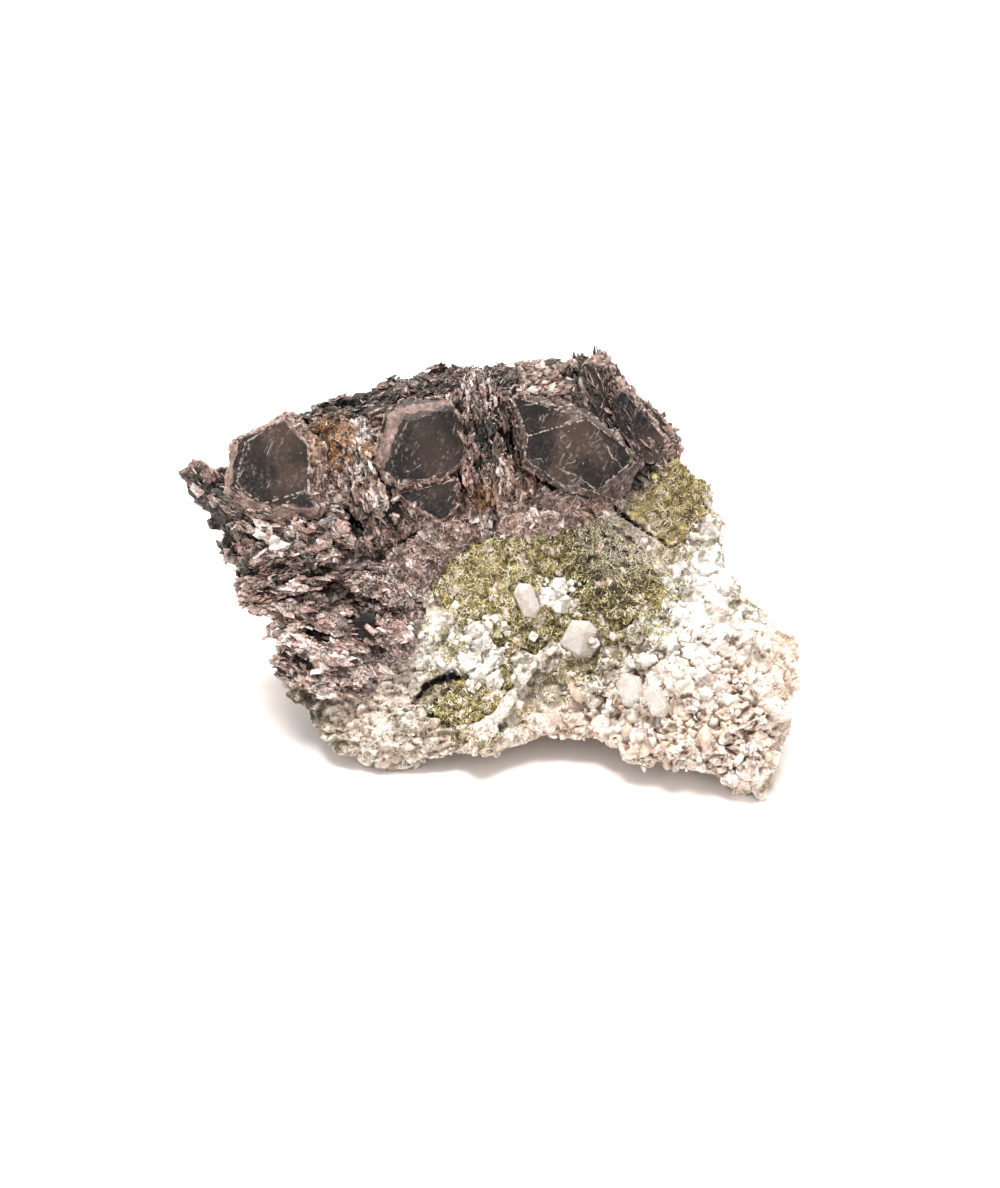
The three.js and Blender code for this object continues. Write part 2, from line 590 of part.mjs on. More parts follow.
const body = rockBody();
const surface = new THREE.Mesh(geometryFrom(body));
const ground = solidFrom(new THREE.BoxGeometry(300, 300, 60)
  .translate(0, 0, -30)
  .rotateX(-FACE_LEAN)
  .translate(0, -GROUND_DROP * Math.sin(FACE_LEAN), -GROUND_DROP * Math.cos(FACE_LEAN)));

const solids = {};
const pockets = [];      // the room that each small piece needs in what carries it

// Adds a piece made of crystals grown together, parted from all that were added before it.
function addCrystals(name, members) {
  const solid = joined(members.map((points) => hull(points)));
  solids[name] = pockets.reduce((left, pocket) => left.subtract(pocket), solid);
  pockets.push(joined(members.map((points) => hull(points, SEAT_GAP))));
}

for (const [name, members] of Object.entries(CRYSTALS)) addCrystals(name, members);
for (const [name, { x, y, out, ...shape }] of Object.entries(QUARTZ)) {
  addCrystals(name, [blade({ ...shape, at: [x, y, faceDepth(surface, x, y) + out] })]);
}
for (const [name, places] of Object.entries(ADULARIA)) {
  addCrystals(name, places.map(([x, y], i) => blade({
    at: [x, y, faceDepth(surface, x, y) + ADULARIA_OUT],
    along: [Math.cos(i * 1.9), Math.sin(i * 1.9), 0.35],
    face: [0.3 * Math.sin(i * 2.3), 0.3 * Math.cos(i * 1.7), 1],
    size: ADULARIA_SIZE,
  })));
}

const cuts = CUTS.map((corners) => hull(corners.map((corner) => new THREE.Vector3(...corner))));
const removed = joined([...pockets, ...cuts]);
const lamellae = joined(SHEAVES.flatMap((row) => sheaf(row)).map((points) => hull(points)));
solids.axinite_mass = body.add(lamellae).intersect(axiniteSide()).subtract(removed);

const awayFromAxinite = axiniteSide(CONTACT_GAP).add(removed);
for (const [name, crust] of Object.entries(CRUSTS)) {
  solids[name] = body.intersect(column(crust, 0)).subtract(awayFromAxinite);
}
const feet = FEET.map((foot) => lump(foot.at, foot.radii, 1));
const vein = VEIN.map((link) => hull(blade(link)));
const seats = joined(Object.values(CRUSTS).map((crust) => column(crust, SEAT_GAP)));
solids.matrix = joined([body, ...feet, ...vein, ...lobeLumps(surface)])
  .subtract(awayFromAxinite)
  .subtract(seats);

const specimen = new THREE.Group();
specimen.name = 'axinite_on_matrix';
specimen.rotation.x = FACE_LEAN;
for (const [name, solid] of Object.entries(solids)) {
  const look = LOOKS[name] ?? LOOKS[name.split('_')[0]];
  const material = new THREE.MeshStandardMaterial({ ...look, metalness: 0, flatShading: true });
  const mesh = new THREE.Mesh(geometryFrom(solid.subtract(ground)), material);
  mesh.name = name;
  specimen.add(mesh);
}

// The origin goes under the middle of the box, on the ground.
specimen.updateMatrixWorld(true);
const box = new THREE.Box3().setFromObject(specimen, true);
const middle = box.getCenter(new THREE.Vector3());
specimen.position.set(-middle.x, -middle.y, -box.min.z);

export default specimen;
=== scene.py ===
import json
from math import radians

import bmesh
import bpy
from mathutils import Matrix, Vector, noise

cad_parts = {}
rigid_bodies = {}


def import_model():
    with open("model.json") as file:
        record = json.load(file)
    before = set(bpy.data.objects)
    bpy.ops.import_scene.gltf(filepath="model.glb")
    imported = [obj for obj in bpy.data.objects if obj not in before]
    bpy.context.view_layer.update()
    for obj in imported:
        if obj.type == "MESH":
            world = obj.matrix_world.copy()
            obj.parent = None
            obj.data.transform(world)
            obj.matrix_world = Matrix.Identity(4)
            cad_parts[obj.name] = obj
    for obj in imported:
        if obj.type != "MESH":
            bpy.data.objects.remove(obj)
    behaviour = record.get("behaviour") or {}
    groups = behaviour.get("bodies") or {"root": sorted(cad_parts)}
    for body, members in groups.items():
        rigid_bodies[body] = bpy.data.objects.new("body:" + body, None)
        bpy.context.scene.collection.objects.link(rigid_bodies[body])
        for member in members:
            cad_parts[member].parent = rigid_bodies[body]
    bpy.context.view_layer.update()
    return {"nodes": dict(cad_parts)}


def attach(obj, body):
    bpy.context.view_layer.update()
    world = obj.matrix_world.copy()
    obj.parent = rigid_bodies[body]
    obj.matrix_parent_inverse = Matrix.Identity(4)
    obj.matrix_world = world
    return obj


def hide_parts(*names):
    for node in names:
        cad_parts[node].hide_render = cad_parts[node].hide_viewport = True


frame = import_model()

scene = bpy.context.scene

# ---- The display face ----
# The crystals look out of one face of the rock, which leans back from upright by the rest of a right
# angle. Places on it are in millimetres: to the right, up the face, and out of it.

LEAN = radians(62)
FACE_TURN = Matrix.Rotation(LEAN, 3, "X")
FACE_MIDDLE = Vector((0.00257, -0.00533, 0.02620))
MM = 0.001


def from_face(place):
    """A place on the display face, in the specimen's own frame."""
    return FACE_MIDDLE + FACE_TURN @ Vector(place) * MM


def direction_from_face(direction):
    return (FACE_TURN @ Vector(direction)).normalized()


OUT_OF_FACE = direction_from_face((0, 0, 1))


# ---- The studio ----
# A white table with a lit screen standing all round it, a broad soft light from above, a faint one from
# the left, and white walls beyond. The camera looks square at the display face.

CAMERA_DISTANCE = 187
SENSOR = 36
PICTURE_HEIGHT = 1188
FOCUS_IN_PIXELS = 1050
TABLE_REACH = 6
SCREEN_RADIUS = 5.8
SCREEN_HEIGHT = 3.6


def add_piece(name, data):
    """A new object with a mesh, a lamp or a camera as its data."""
    piece = bpy.data.objects.new(name, data)
    scene.collection.objects.link(piece)
    return piece


def mesh_of(bm, name):
    """The mesh of a bmesh, which is then done with."""
    mesh = bpy.data.meshes.new(name)
    bm.to_mesh(mesh)
    bm.free()
    return mesh


def plain_material(name, constants):
    """A material that is the same all over. The constants are the shader's own sockets."""
    material = bpy.data.materials.new(name)
    material.use_nodes = True
    for socket, value in constants.items():
        material.node_tree.nodes["Principled BSDF"].inputs[socket].default_value = value
    return material


camera = add_piece("camera", bpy.data.cameras.new("camera"))
camera.location = from_face((0, 0, CAMERA_DISTANCE))
camera.rotation_euler = (LEAN, 0, 0)
camera.data.sensor_width = SENSOR
camera.data.lens = SENSOR * FOCUS_IN_PIXELS / PICTURE_HEIGHT
camera.data.clip_start = 0.01
scene.camera = camera
scene.view_settings.view_transform = "Standard"

bm = bmesh.new()
bmesh.ops.create_grid(bm, x_segments=1, y_segments=1, size=TABLE_REACH)
table_top = add_piece("table_top", mesh_of(bm, "table_top"))
table_top.data.materials.append(plain_material("white_paper", {
    "Base Color": (0.95, 0.905, 0.88, 1), "Roughness": 0.9, "Specular IOR Level": 0.1,
}))

bm = bmesh.new()
bmesh.ops.create_cone(bm, cap_ends=False, segments=48, radius1=SCREEN_RADIUS, radius2=SCREEN_RADIUS,
                      depth=SCREEN_HEIGHT)
screen = add_piece("screen", mesh_of(bm, "screen"))
screen.data.materials.append(plain_material("lit_paper", {
    "Base Color": (0, 0, 0, 1), "Specular IOR Level": 0, "Emission Color": (1, 1, 1, 1),
    "Emission Strength": 1.0,
}))

for name, place, strength, spread, colour in (
    ("key_light", (-0.06, 0.05, 0.95), 4.0, 28, (1.0, 0.985, 0.965)),
    ("side_light", (-0.60, -0.50, 0.45), 0.3, 50, (0.97, 0.985, 1.0)),
):
    lamp = add_piece(name, bpy.data.lights.new(name, "SUN"))
    lamp.location = place
    lamp.rotation_euler = (-Vector(place)).to_track_quat("-Z", "Y").to_euler()
    lamp.data.energy = strength
    lamp.data.angle = radians(spread)
    lamp.data.color = colour

walls = bpy.data.worlds.new("white_walls")
walls.use_nodes = True
walls.node_tree.nodes["Background"].inputs["Color"].default_value = (1.0, 0.995, 0.99, 1)
walls.node_tree.nodes["Background"].inputs["Strength"].default_value = 0.76
scene.world = walls


# ---- The matrix ----
# Fine-grained albite rock, white to pinkish beige. Its solid gets a fine skin, which is swollen into
# blocky crumbs with brown grime in the joints between them, and folded and pitted on the foot. Painted
# shade darkens its low places, crevices, cracks and cave mouth, and a painted highlight lightens its high
# places.

def plug(value, socket):
    """Links a field to a socket, or sets the socket to any other value."""
    if isinstance(value, Field):
        value.tree.links.new(value.socket, socket)
    else:
        socket.default_value = value


class Field:
    """One output of a node, in a shader or a geometry tree. Sums and products of it add Math nodes."""

    def __init__(self, tree, socket=None):
        self.tree = tree
        self.socket = socket

    def make(self, kind, settings=(), sockets=(), output=0):
        node = self.tree.nodes.new(kind)
        for name, value in dict(settings).items():
            if name == "stops":
                stops = node.color_ramp.elements
                while len(stops) < len(value):
                    stops.new(0)
                for stop, (place, colour) in zip(stops, value):
                    stop.position = place
                    stop.color = colour
            else:
                setattr(node, name, value)
        for name, value in dict(sockets).items():
            plug(value, node.inputs[name])
        return Field(self.tree, node.outputs[output] if node.outputs else None)

    def math(self, operation, *values):
        return self.make("ShaderNodeMath", {"operation": operation}, dict(enumerate((self, *values))))

    def vector(self, operation, *values, output=0):
        sockets = dict(enumerate((self, *values)))
        return self.make("ShaderNodeVectorMath", {"operation": operation}, sockets, output)

    def __add__(self, other):
        return self.math("ADD", other)

    __radd__ = __add__

    def __sub__(self, other):
        return self.math("SUBTRACT", other)

    def __rsub__(self, other):
        return self.make("ShaderNodeMath", {"operation": "SUBTRACT"}, {0: other, 1: self})

    def __mul__(self, other):
        return self.math("MULTIPLY", other)

    __rmul__ = __mul__


def dot(vector, other):
    return vector.vector("DOT_PRODUCT", other, output=1)


def scaled(vector, factor):
    return vector.make("ShaderNodeVectorMath", {"operation": "SCALE"}, {0: vector, "Scale": factor})


def stretched(place, x, y, z):
    return place.vector("MULTIPLY", (x, y, z))


def turned(place, axis, angle):
    return place.make("ShaderNodeVectorRotate", {"rotation_type": axis}, {"Vector": place, "Angle": angle})


def parts_of(vector):
    split = vector.make("ShaderNodeSeparateXYZ", (), {0: vector})
    return [Field(split.tree, output) for output in split.socket.node.outputs]


def noise_at(place, size, detail=2.0, rough=0.5, offset=(0, 0, 0)):
    """Smooth noise from 0 to 1 over places in mm, in lumps of about that size."""
    return place.make("ShaderNodeTexNoise", (), {
        "Vector": place.vector("ADD", offset), "Scale": 1 / size, "Detail": detail, "Roughness": rough,
    })


def wave_at(place, *shape, **more):
    """The same noise, from -0.5 to 0.5."""
    return noise_at(place, *shape, **more) - 0.5


def cells_at(place, size, feature="F1", output=0):
    """Distance to the middle, or the border, of cells of about that size, over places in mm."""
    sockets = {"Vector": place, "Scale": 1 / size}
    return place.make("ShaderNodeTexVoronoi", {"feature": feature}, sockets, output)


def cell_chance(place, size=1):
    """A random number from 0 to 1 for each cell of about that size."""
    return parts_of(cells_at(place, size, output="Color"))[0]


def warp(place, size, reach):
    """Places in mm pushed about by up to reach, in swirls of about that size."""
    sockets = {"Vector": place, "Scale": 1 / size, "Detail": 2.0}
    swirl = place.make("ShaderNodeTexNoise", (), sockets, "Color")
    return place.vector("ADD", scaled(swirl.vector("SUBTRACT", (0.5, 0.5, 0.5)), 3 * reach))


def ease(value, low, high, to_low=0.0, to_high=1.0):
    """A soft step from to_low, where value is low, to to_high, where it is high."""
    return value.make("ShaderNodeMapRange", {"interpolation_type": "SMOOTHSTEP"}, {
        "Value": value, "From Min": low, "From Max": high, "To Min": to_low, "To Max": to_high,
    })


def fade(value, low, high):
    """A soft step from 1, where value is low, to 0, where it is high."""
    return ease(value, low, high, 1.0, 0.0)


def wandering(wave, core, reach):
    """1 along the lines where a wave is about 0, and 0 away from them."""
    return fade(wave.math("ABSOLUTE"), core, reach)


def most(*values):
    """The greatest of some fields."""
    result = values[0]
    for value in values[1:]:
        result = result.math("MAXIMUM", value)
    return result


def face_place(place):
    """A place in metres in the specimen's frame, as one in mm on the display face."""
    return scaled(turned(place.vector("SUBTRACT", tuple(FACE_MIDDLE)), "X_AXIS", -LEAN), 1 / MM)


def patch(place, x, y, radius, soft=0.4):
    """1 in a round patch of the display face and 0 away from it, with a soft edge."""
    distance = stretched(place, 1, 1, 0).vector("DISTANCE", (x, y, 0), output=1)
    return fade(distance, radius * (1 - soft), radius * (1 + soft))


def patches(place, *spots):
    """1 in any of some patches: x, y, radius and softness of each."""
    return most(*[patch(place, *spot) for spot in spots])


def band(place, start, end, radius, soft=0.4):
    """1 along a straight line on the display face and 0 away from it, with a soft edge."""
    run = Vector((*end, 0)) - Vector((*start, 0))
    from_start = stretched(place, 1, 1, 0).vector("SUBTRACT", (*start, 0))
    share = dot(from_start, tuple(run / run.length_squared))
    share = share.make("ShaderNodeClamp", (), {0: share})
    nearest = share.make("ShaderNodeVectorMath", {"operation": "SCALE"}, {0: tuple(run), "Scale": share})
    distance = from_start.vector("DISTANCE", nearest, output=1)
    return fade(distance, radius * (1 - soft), radius * (1 + soft))


def tint(code):
    """A colour as it looks on a screen, such as "#c8b4a0", as the numbers that a shader takes."""
    parts = [int(code[i:i + 2], 16) / 255 for i in (1, 3, 5)]
    return (*[part / 12.92 if part <= 0.04045 else ((part + 0.055) / 1.055) ** 2.4 for part in parts], 1)


def tints(value, *stops):
    """A colour that runs through some stops, each a place from 0 to 1 and a tint, as value rises."""
    stops = [(place, tint(code)) for place, code in stops]
    return value.make("ShaderNodeValToRGB", {"stops": stops}, {0: value})


def blend(factor, colour, other):
    """A colour where factor is 0 and the other, a colour or a tint, where it is 1."""
    other = tint(other) if isinstance(other, str) else other
    return factor.make("ShaderNodeMix", {"data_type": "RGBA"}, {0: factor, 6: colour, 7: other}, output=2)


def layered(colour, *layers):
    """A colour with others over it, each with its own factor, the last on top."""
    for factor, other in layers:
        colour = blend(factor, colour, other)
    return colour


def settle(piece):
    """Makes what a piece's modifiers do part of its mesh."""
    seen = piece.evaluated_get(bpy.context.evaluated_depsgraph_get())
    mesh = bpy.data.meshes.new_from_object(seen)
    piece.modifiers.clear()
    piece.data = mesh


def copy_of(node, name):
    """A copy of a solid's mesh as a new piece, its loose triangles joined and its material taken off."""
    piece = add_piece(name, frame["nodes"][node].data.copy())
    piece.data.materials.clear()
    bm = bmesh.new()
    bm.from_mesh(piece.data)
    bmesh.ops.remove_doubles(bm, verts=bm.verts, dist=1e-6)
    bm.to_mesh(piece.data)
    bm.free()
    return piece


def skin(piece, grain):
    """Gives a piece an even skin of small faces, of that size in mm."""
    remesh = piece.modifiers.new("skin", "REMESH")
    remesh.mode = "VOXEL"
    remesh.voxel_size = grain * MM
    settle(piece)


def grow(piece, work):
    """Runs a geometry tree over a piece: work gets a field to start from and the piece's geometry."""
    tree = bpy.data.node_groups.new("growth", "GeometryNodeTree")
    tree.interface.new_socket("Geometry", in_out="INPUT", socket_type="NodeSocketGeometry")
    tree.interface.new_socket("Geometry", in_out="OUTPUT", socket_type="NodeSocketGeometry")
    start = Field(tree)
    result = work(start, start.make("NodeGroupInput"))
    start.make("NodeGroupOutput", sockets={0: result})
    piece.modifiers.new("growth", "NODES").node_group = tree
    settle(piece)
    bpy.data.node_groups.remove(tree)


def position(start):
    return start.make("GeometryNodeInputPosition")


def here_on(start):
    """The place on the display face, in mm, inside a geometry tree."""
    return face_place(position(start))


def facing(start):
    return start.make("GeometryNodeInputNormal")


def keep(geometry, name, value, kind="FLOAT", domain="POINT"):
    """Keeps a number or a vector on every vertex, under a name that the material reads."""
    return geometry.make("GeometryNodeStoreNamedAttribute", {"data_type": kind, "domain": domain},
                         {"Geometry": geometry, "Name": name, "Value": value})


def keep_relief(geometry, reach):
    """Keeps how far each place stands out of the skin round it, in mm, as "relief"."""
    # From relief, the materials paint shade into low places and highlights onto high ones.
    round_it = geometry.make("GeometryNodeBlurAttribute", {"data_type": "FLOAT_VECTOR"},
                             {"Value": position(geometry), "Iterations": reach})
    height = dot(position(geometry).vector("SUBTRACT", round_it), facing(geometry))
    return keep(geometry, "relief", height * (1 / MM))


def swell(geometry, height):
    """Moves the skin out along its normal by a height in mm, but not down into the table."""
    out = position(geometry).vector("ADD", scaled(facing(geometry), height * MM))
    sockets = {"Geometry": geometry, "Position": out.vector("MAXIMUM", (-1, -1, 0))}
    return geometry.make("GeometryNodeSetPosition", (), sockets)


def kept(start, name, output="Fac"):
    """A number, or with output "Vector" a vector, that the piece's vertices keep."""
    return start.make("ShaderNodeAttribute", {"attribute_name": name}, (), output)


def mineral(name, look, constants):
    """A material. look gets a field to start from and the place on the face, and gives colour,
    roughness and relief in mm. The constants are the shader's own sockets."""
    material = plain_material(name, constants)
    shader = material.node_tree.nodes["Principled BSDF"]
    start = Field(material.node_tree)
    here = face_place(start.make("ShaderNodeTexCoord", output="Object"))
    colour, roughness, relief = look(start, here)
    bump = relief.make("ShaderNodeBump", (), {"Strength": 1.0, "Distance": MM, "Height": relief})
    for socket, value in (("Base Color", colour), ("Normal", bump), ("Roughness", roughness)):
        plug(value, shader.inputs[socket])
    return material


def grown_copy(node, name, grain, work):
    """A copy of a solid with a fine skin, after a geometry tree has run over it."""
    piece = copy_of(node, name)
    skin(piece, grain)
    grow(piece, work)
    return piece


def dress(piece, material, slot, *nodes):
    """Gives a piece its material, and its place in the frame."""
    piece.data.materials.clear()
    piece.data.materials.append(material)
    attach(piece, "root")
    if nodes:
        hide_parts(*nodes)


MATRIX_SKIN = 0.5
BLOCK_SIZE = 5.0
GRAIN_SIZE = 2.4
KNOB_SIZE = 1.2

# The raised vein: its ends, half its width and how soft its edge is. The foot: its middle, its radius
# and its edge. The back and the front: how far out of the display face they end and begin.
VEIN = ((9, -9), (-3, -21), 3.4, 0.35)
FOOT = (-20, -26, 17, 0.25)
BACK = -13
FRONT = -9

# Gaps in the display face, carved in and painted near-black as shade: the two ends of each, and half
# its width. The first two are cracks and the last three are the arched mouth of a small cave.
CRACKS = (
    ((20.6, 15.6), (31.0, 9.0), 0.5), ((2.6, 22.6), (11.4, 18.8), 0.5),
    ((-14.8, -18.6), (-13.0, -16.6), 0.4), ((-13.0, -16.6), (-10.8, -15.2), 0.85),
    ((-10.8, -15.4), (-8.2, -14.8), 1.25),
)


def on_vein(here):
    return band(here, *VEIN)


def on_foot(here):
    return patch(here, *FOOT)


def snowy_places(here):
    """1 on the whitest parts of the rock: the shoulder, and beside the lower crust."""
    return patches(here, (31, -3, 12, 0.6), (37, 9, 8, 0.6), (-10, -9, 6, 0.4))


def in_front(here):
    """1 on the side that the display face is on and 0 on the back."""
    return ease(parts_of(here)[2], BACK, FRONT)


def in_gaps(here, gaps, share=1.0):
    """1 inside the gaps and 0 away from them, each taken as a share of its width."""
    bent = warp(warp(here, 2.6, 0.6), 0.9, 0.22)
    inside = most(*[band(bent, start, end, width * share, 0.35) for start, end, width in gaps])
    return inside * in_front(here)


def in_crevices(here):
    """1 in the crevices that wander across the lobe, 0 away from them. The brown painted into them is shade.
    """
    deep = wandering(wave_at(stretched(here, 0.75, 1.25, 1), 5, 3, 0.6, offset=(0, 0, 12)), 0.008, 0.028)
    return deep * ease(noise_at(here, 6, offset=(0, 0, 30)), 0.4, 0.5) * patch(here, 30, -22, 19, 0.2)


def swell_rock(start, rock):
    here = here_on(start)
    bent = warp(here, 4, 0.7)
    vein = on_vein(here)
    foot = on_foot(here)
    fibres = wave_at(stretched(turned(here, "Z_AXIS", radians(-45)), 0.22, 1.1, 0.6), 1, 3)
    blocky = 1.5 * (cell_chance(bent, BLOCK_SIZE) - 0.5) + 1.2 * (cell_chance(bent, GRAIN_SIZE) - 0.5)
    knobbly = 0.7 * (0.5 - cells_at(here, KNOB_SIZE)) + 0.8 * wave_at(here, 2.6, 2)
    drift = 1.1 * wave_at(here, 5)
    folds = wave_at(stretched(here, 0.7, 1.3, 1), 4, 3, 0.6, offset=(0, 0, 50)).math("ABSOLUTE")
    height = drift + (1 - vein) * blocky * (1 - 0.85 * foot) + knobbly * (0.5 - 0.2 * foot)
    height = height + 1.5 * vein * fibres
    height = height - 1.2 * foot * (1 - ease(folds, 0.0, 0.12))
    height = height * (1 - in_gaps(here, CRACKS[:2], 2.0)) - 1.8 * in_gaps(here, CRACKS)
    height = height - 0.9 * in_crevices(here)
    return keep_relief(swell(keep(rock, "rest", here, "FLOAT_VECTOR"), height), 5)


def green_edge(colour, here):
    """Dark green staining down the left edge of the foot."""
    green = in_front(here) * patch(here, -36, -20, 5, 0.5) * ease(noise_at(here, 1.5, 3), 0.38, 0.5)
    return blend(green * 0.85, colour, "#3d3b2c")


def tan_stains(place, snowy):
    """1 in tan stains off the snowy places, 0 away from them."""
    return ease(noise_at(place, 3, 4, offset=(0, 0, 40)), 0.5, 0.64) * (1 - snowy)


def albite_look(start, here):
    rest = kept(start, "rest", "Vector")
    relief = kept(start, "relief")
    foot = on_foot(here)
    vein = on_vein(here)
    snowy = most(snowy_places(here), 0.55 * vein)
    joint = fade(cells_at(warp(rest, 4, 0.7), GRAIN_SIZE, "DISTANCE_TO_EDGE"), 0.0, 0.09)
    crack = fade(cells_at(warp(rest, 2, 0.5), BLOCK_SIZE, "DISTANCE_TO_EDGE"), 0.0, 0.03)
    # low is 1 in the low places of the skin. The brown laid there is painted shade; in the joints it is
    # grime.
    low = fade(relief, -0.4, -0.06) * (1 - 0.4 * foot)
    grime_and_hollow_shade = tints(noise_at(rest, 1.8, 3), (0.35, "#5f493b"), (0.6, "#9f7f6d"))
    patchy = ease(noise_at(rest, 5, 3, offset=(0, 30, 0)), 0.36, 0.56, 0.3, 1.0)
    joints = most(joint * 0.6, crack * 0.8) * (1 - 0.85 * foot)
    pores = ease(noise_at(rest, 0.8, 3, 0.65), 0.56, 0.62) * most(foot, 0.5 * vein)
    pits = ease(noise_at(rest, 2.6, 4, 0.65, offset=(0, 6, 0)), 0.58, 0.64) * foot
    fine = ease(noise_at(rest, 0.6, 3, 0.7), 0.4, 0.6, 0.35, 0.0) * (1 - 0.4 * snowy)
    olive = most(patches(here, (44, -1, 4), (39.5, 8, 3), (-37, -20, 7), (-30, -27, 4)),
                 0.8 * patch(here, -13, -22, 5), patch(here, -9.5, -17.4, 2.6, 0.3),
                 patch(here, 10, 2, 22, 0.25), patch(here, 29, 13, 8, 0.25))
    olive = olive * in_front(here) * ease(noise_at(here, 1.6, 3, offset=(9, 9, 9)), 0.46, 0.56)
    stone = tints(noise_at(rest, 7, 4), (0.34, "#d3b9a4"), (0.46, "#ecdac7"), (0.58, "#f8ecde"),
                  (0.7, "#fcf8f2"))
    stone = layered(
        stone, (foot * 0.5, "#d0c5b8"), (snowy * 0.85, "#fbf8f3"),
        (tan_stains(rest, snowy) * 0.4, "#b3937f"), (most(low, joints) * patchy * (1 - 0.6 * snowy), grime_and_hollow_shade),
        # The brown in the crevices is painted shade.
        (in_crevices(rest) * 0.85, "#886b58"),
        # The pale layer on the high places is a painted highlight.
        (most(pores * 0.75, pits * 0.8), "#4f4236"), (ease(relief, 0.05, 0.4) * 0.5, "#fbf7f2"),
        # The near-black in the cracks and the cave mouth is painted shade.
        (fine, "#7d6757"), (olive * 0.8, "#6a6443"), (in_gaps(here, CRACKS, 0.8), "#1d1712"),
    )
    relief = 0.25 * noise_at(rest, 0.6, 4, 0.65) + 0.15 * cells_at(rest, 0.6) - 0.25 * pores
    return green_edge(stone, here), 0.8, relief


rock = grown_copy("matrix", "albite_rock", MATRIX_SKIN, swell_rock)
dress(rock, mineral("albite", albite_look, {"Specular IOR Level": 0.35}), "matrix", "matrix")


# ---- The grains of the matrix ----
# Sugary albite, in blunt lumps 1 to 2.5 mm across that are sunk deep into the rock: most of them on
# the lobe, and fewer on the shoulder, round the sides and on the back.

LOBE_GRAINS = {"spacing": 1.4, "density": 0.22}
FINE_GRAINS = {"spacing": 1.5, "density": 0.12}
BARE_ABOVE_TABLE = (1.2 * MM, 2.4 * MM)
ANY_WAY = Vector((0.531, 0.707, 0.467))
noise.seed_set(7)


def in_order(bm):
    """Puts the corners, the edges and the faces in an order that is the same in each run."""
    for vert in bm.verts:
        vert.co = [round(part, 7) for part in vert.co]
    bm.verts.sort(key=lambda vert: ANY_WAY.dot(vert.co))
    bm.edges.sort(key=lambda side: ANY_WAY.dot(side.verts[0].co + side.verts[1].co))
    bm.faces.sort(key=lambda face: ANY_WAY.dot(face.calc_center_median()))


def cluster_of(name, count, make):
    """A collection of a few varied small shapes, each made about 1 across by make(bm, number)."""
    shapes = bpy.data.collections.new(name)
    for number in range(count):
        bm = bmesh.new()
        make(bm, number)
        bmesh.ops.recalc_face_normals(bm, faces=bm.faces)
        in_order(bm)
        shape_name = f"{name}_{number}"
        shapes.objects.link(bpy.data.objects.new(shape_name, mesh_of(bm, shape_name)))
    return shapes


def grain(bm, number):
    bmesh.ops.create_icosphere(bm, subdivisions=2, radius=0.5)
    for vert in bm.verts:
        place = vert.co + Vector((number * 7.1, 3, 1))
        vert.co += noise.noise_vector(place * 2.2) * 0.3 + noise.noise_vector(place * 6) * 0.12


def chance(start, low, high, seed):
    """A random number, vector or whole number for each copy."""
    kind, first = {tuple: ("FLOAT_VECTOR", 0), float: ("FLOAT", 2), int: ("INT", 4)}[type(low)]
    sockets = {first: low, first + 1: high, 8: seed}
    return start.make("FunctionNodeRandomValue", {"data_type": kind}, sockets, first // 2)


def shape_of(start, piece):
    """The geometry of another piece, inside a geometry tree."""
    return start.make("GeometryNodeObjectInfo", (), {"Object": piece}, "Geometry")


def distance_to(surface):
    return surface.make("GeometryNodeProximity", {"target_element": "FACES"}, {0: surface}, "Distance")


def strew(name, ground, shapes, layout, seed, *, spacing, density):
    """A new piece made of many small copies of some shapes over a ground. layout(start, here, normal)
    gives where they may lie, from 0 to 1, and their turn, size in mm, tone and lift in mm. None lie
    where the ground is about to touch the table."""
    piece = add_piece(name, bpy.data.meshes.new(name))

    def lay(start, nothing):
        surface = shape_of(start, ground)
        scattered = start.make("GeometryNodeDistributePointsOnFaces", {"distribute_method": "POISSON"}, {
            "Mesh": surface, "Distance Min": spacing * MM, "Density Max": density / MM ** 2, "Seed": seed,
        })
        node = scattered.socket.node
        normal = Field(start.tree, node.outputs["Normal"])
        place = position(start)
        where, turn, size, tone, lift = layout(start, face_place(place), normal)
        where = where * ease(parts_of(place)[2], *BARE_ABOVE_TABLE)
        plug(where, node.inputs["Density Factor"])
        offset = scaled(normal, lift * MM)
        lifted = start.make("GeometryNodeSetPosition", (), {"Geometry": scattered, "Offset": offset})
        choice = start.make("GeometryNodeCollectionInfo", (), {
            "Collection": shapes, "Separate Children": True, "Reset Children": True,
        })
        copies = start.make("GeometryNodeInstanceOnPoints", (), {
            "Points": lifted, "Instance": choice, "Pick Instance": True,
            "Instance Index": chance(start, 0, len(shapes.objects) - 1, seed + 1),
            "Rotation": turn, "Scale": scaled(size, MM),
        })
        toned = keep(copies, "tone", tone, domain="INSTANCE")
        real = start.make("GeometryNodeRealizeInstances", (), {"Geometry": toned})
        # rise is each copy's height over the ground in mm; the materials paint shade where it is low.
        return keep(real, "rise", distance_to(surface) * (1 / MM))

    grow(piece, lay)
    return piece


def luck(start, seed):
    """A random number from 0 to 1 for each copy."""
    return chance(start, 0.0, 1.0, seed)


def mostly_small(start, least, more, seed):
    """A random number for each copy, from least up to least and more, and mostly near least."""
    share = luck(start, seed)
    return least + more * share * share


def any_turn(start, seed):
    """A random rotation."""
    angles = chance(start, (0, 0, 0), (6.28, 6.28, 6.28), seed)
    return start.make("FunctionNodeEulerToRotation", (), {0: angles})


def smooth(piece, is_smooth=True):
    for face in piece.data.polygons:
        face.use_smooth = is_smooth


def clear_of_gaps(here):
    return 1 - in_gaps(here, CRACKS, 1.5)


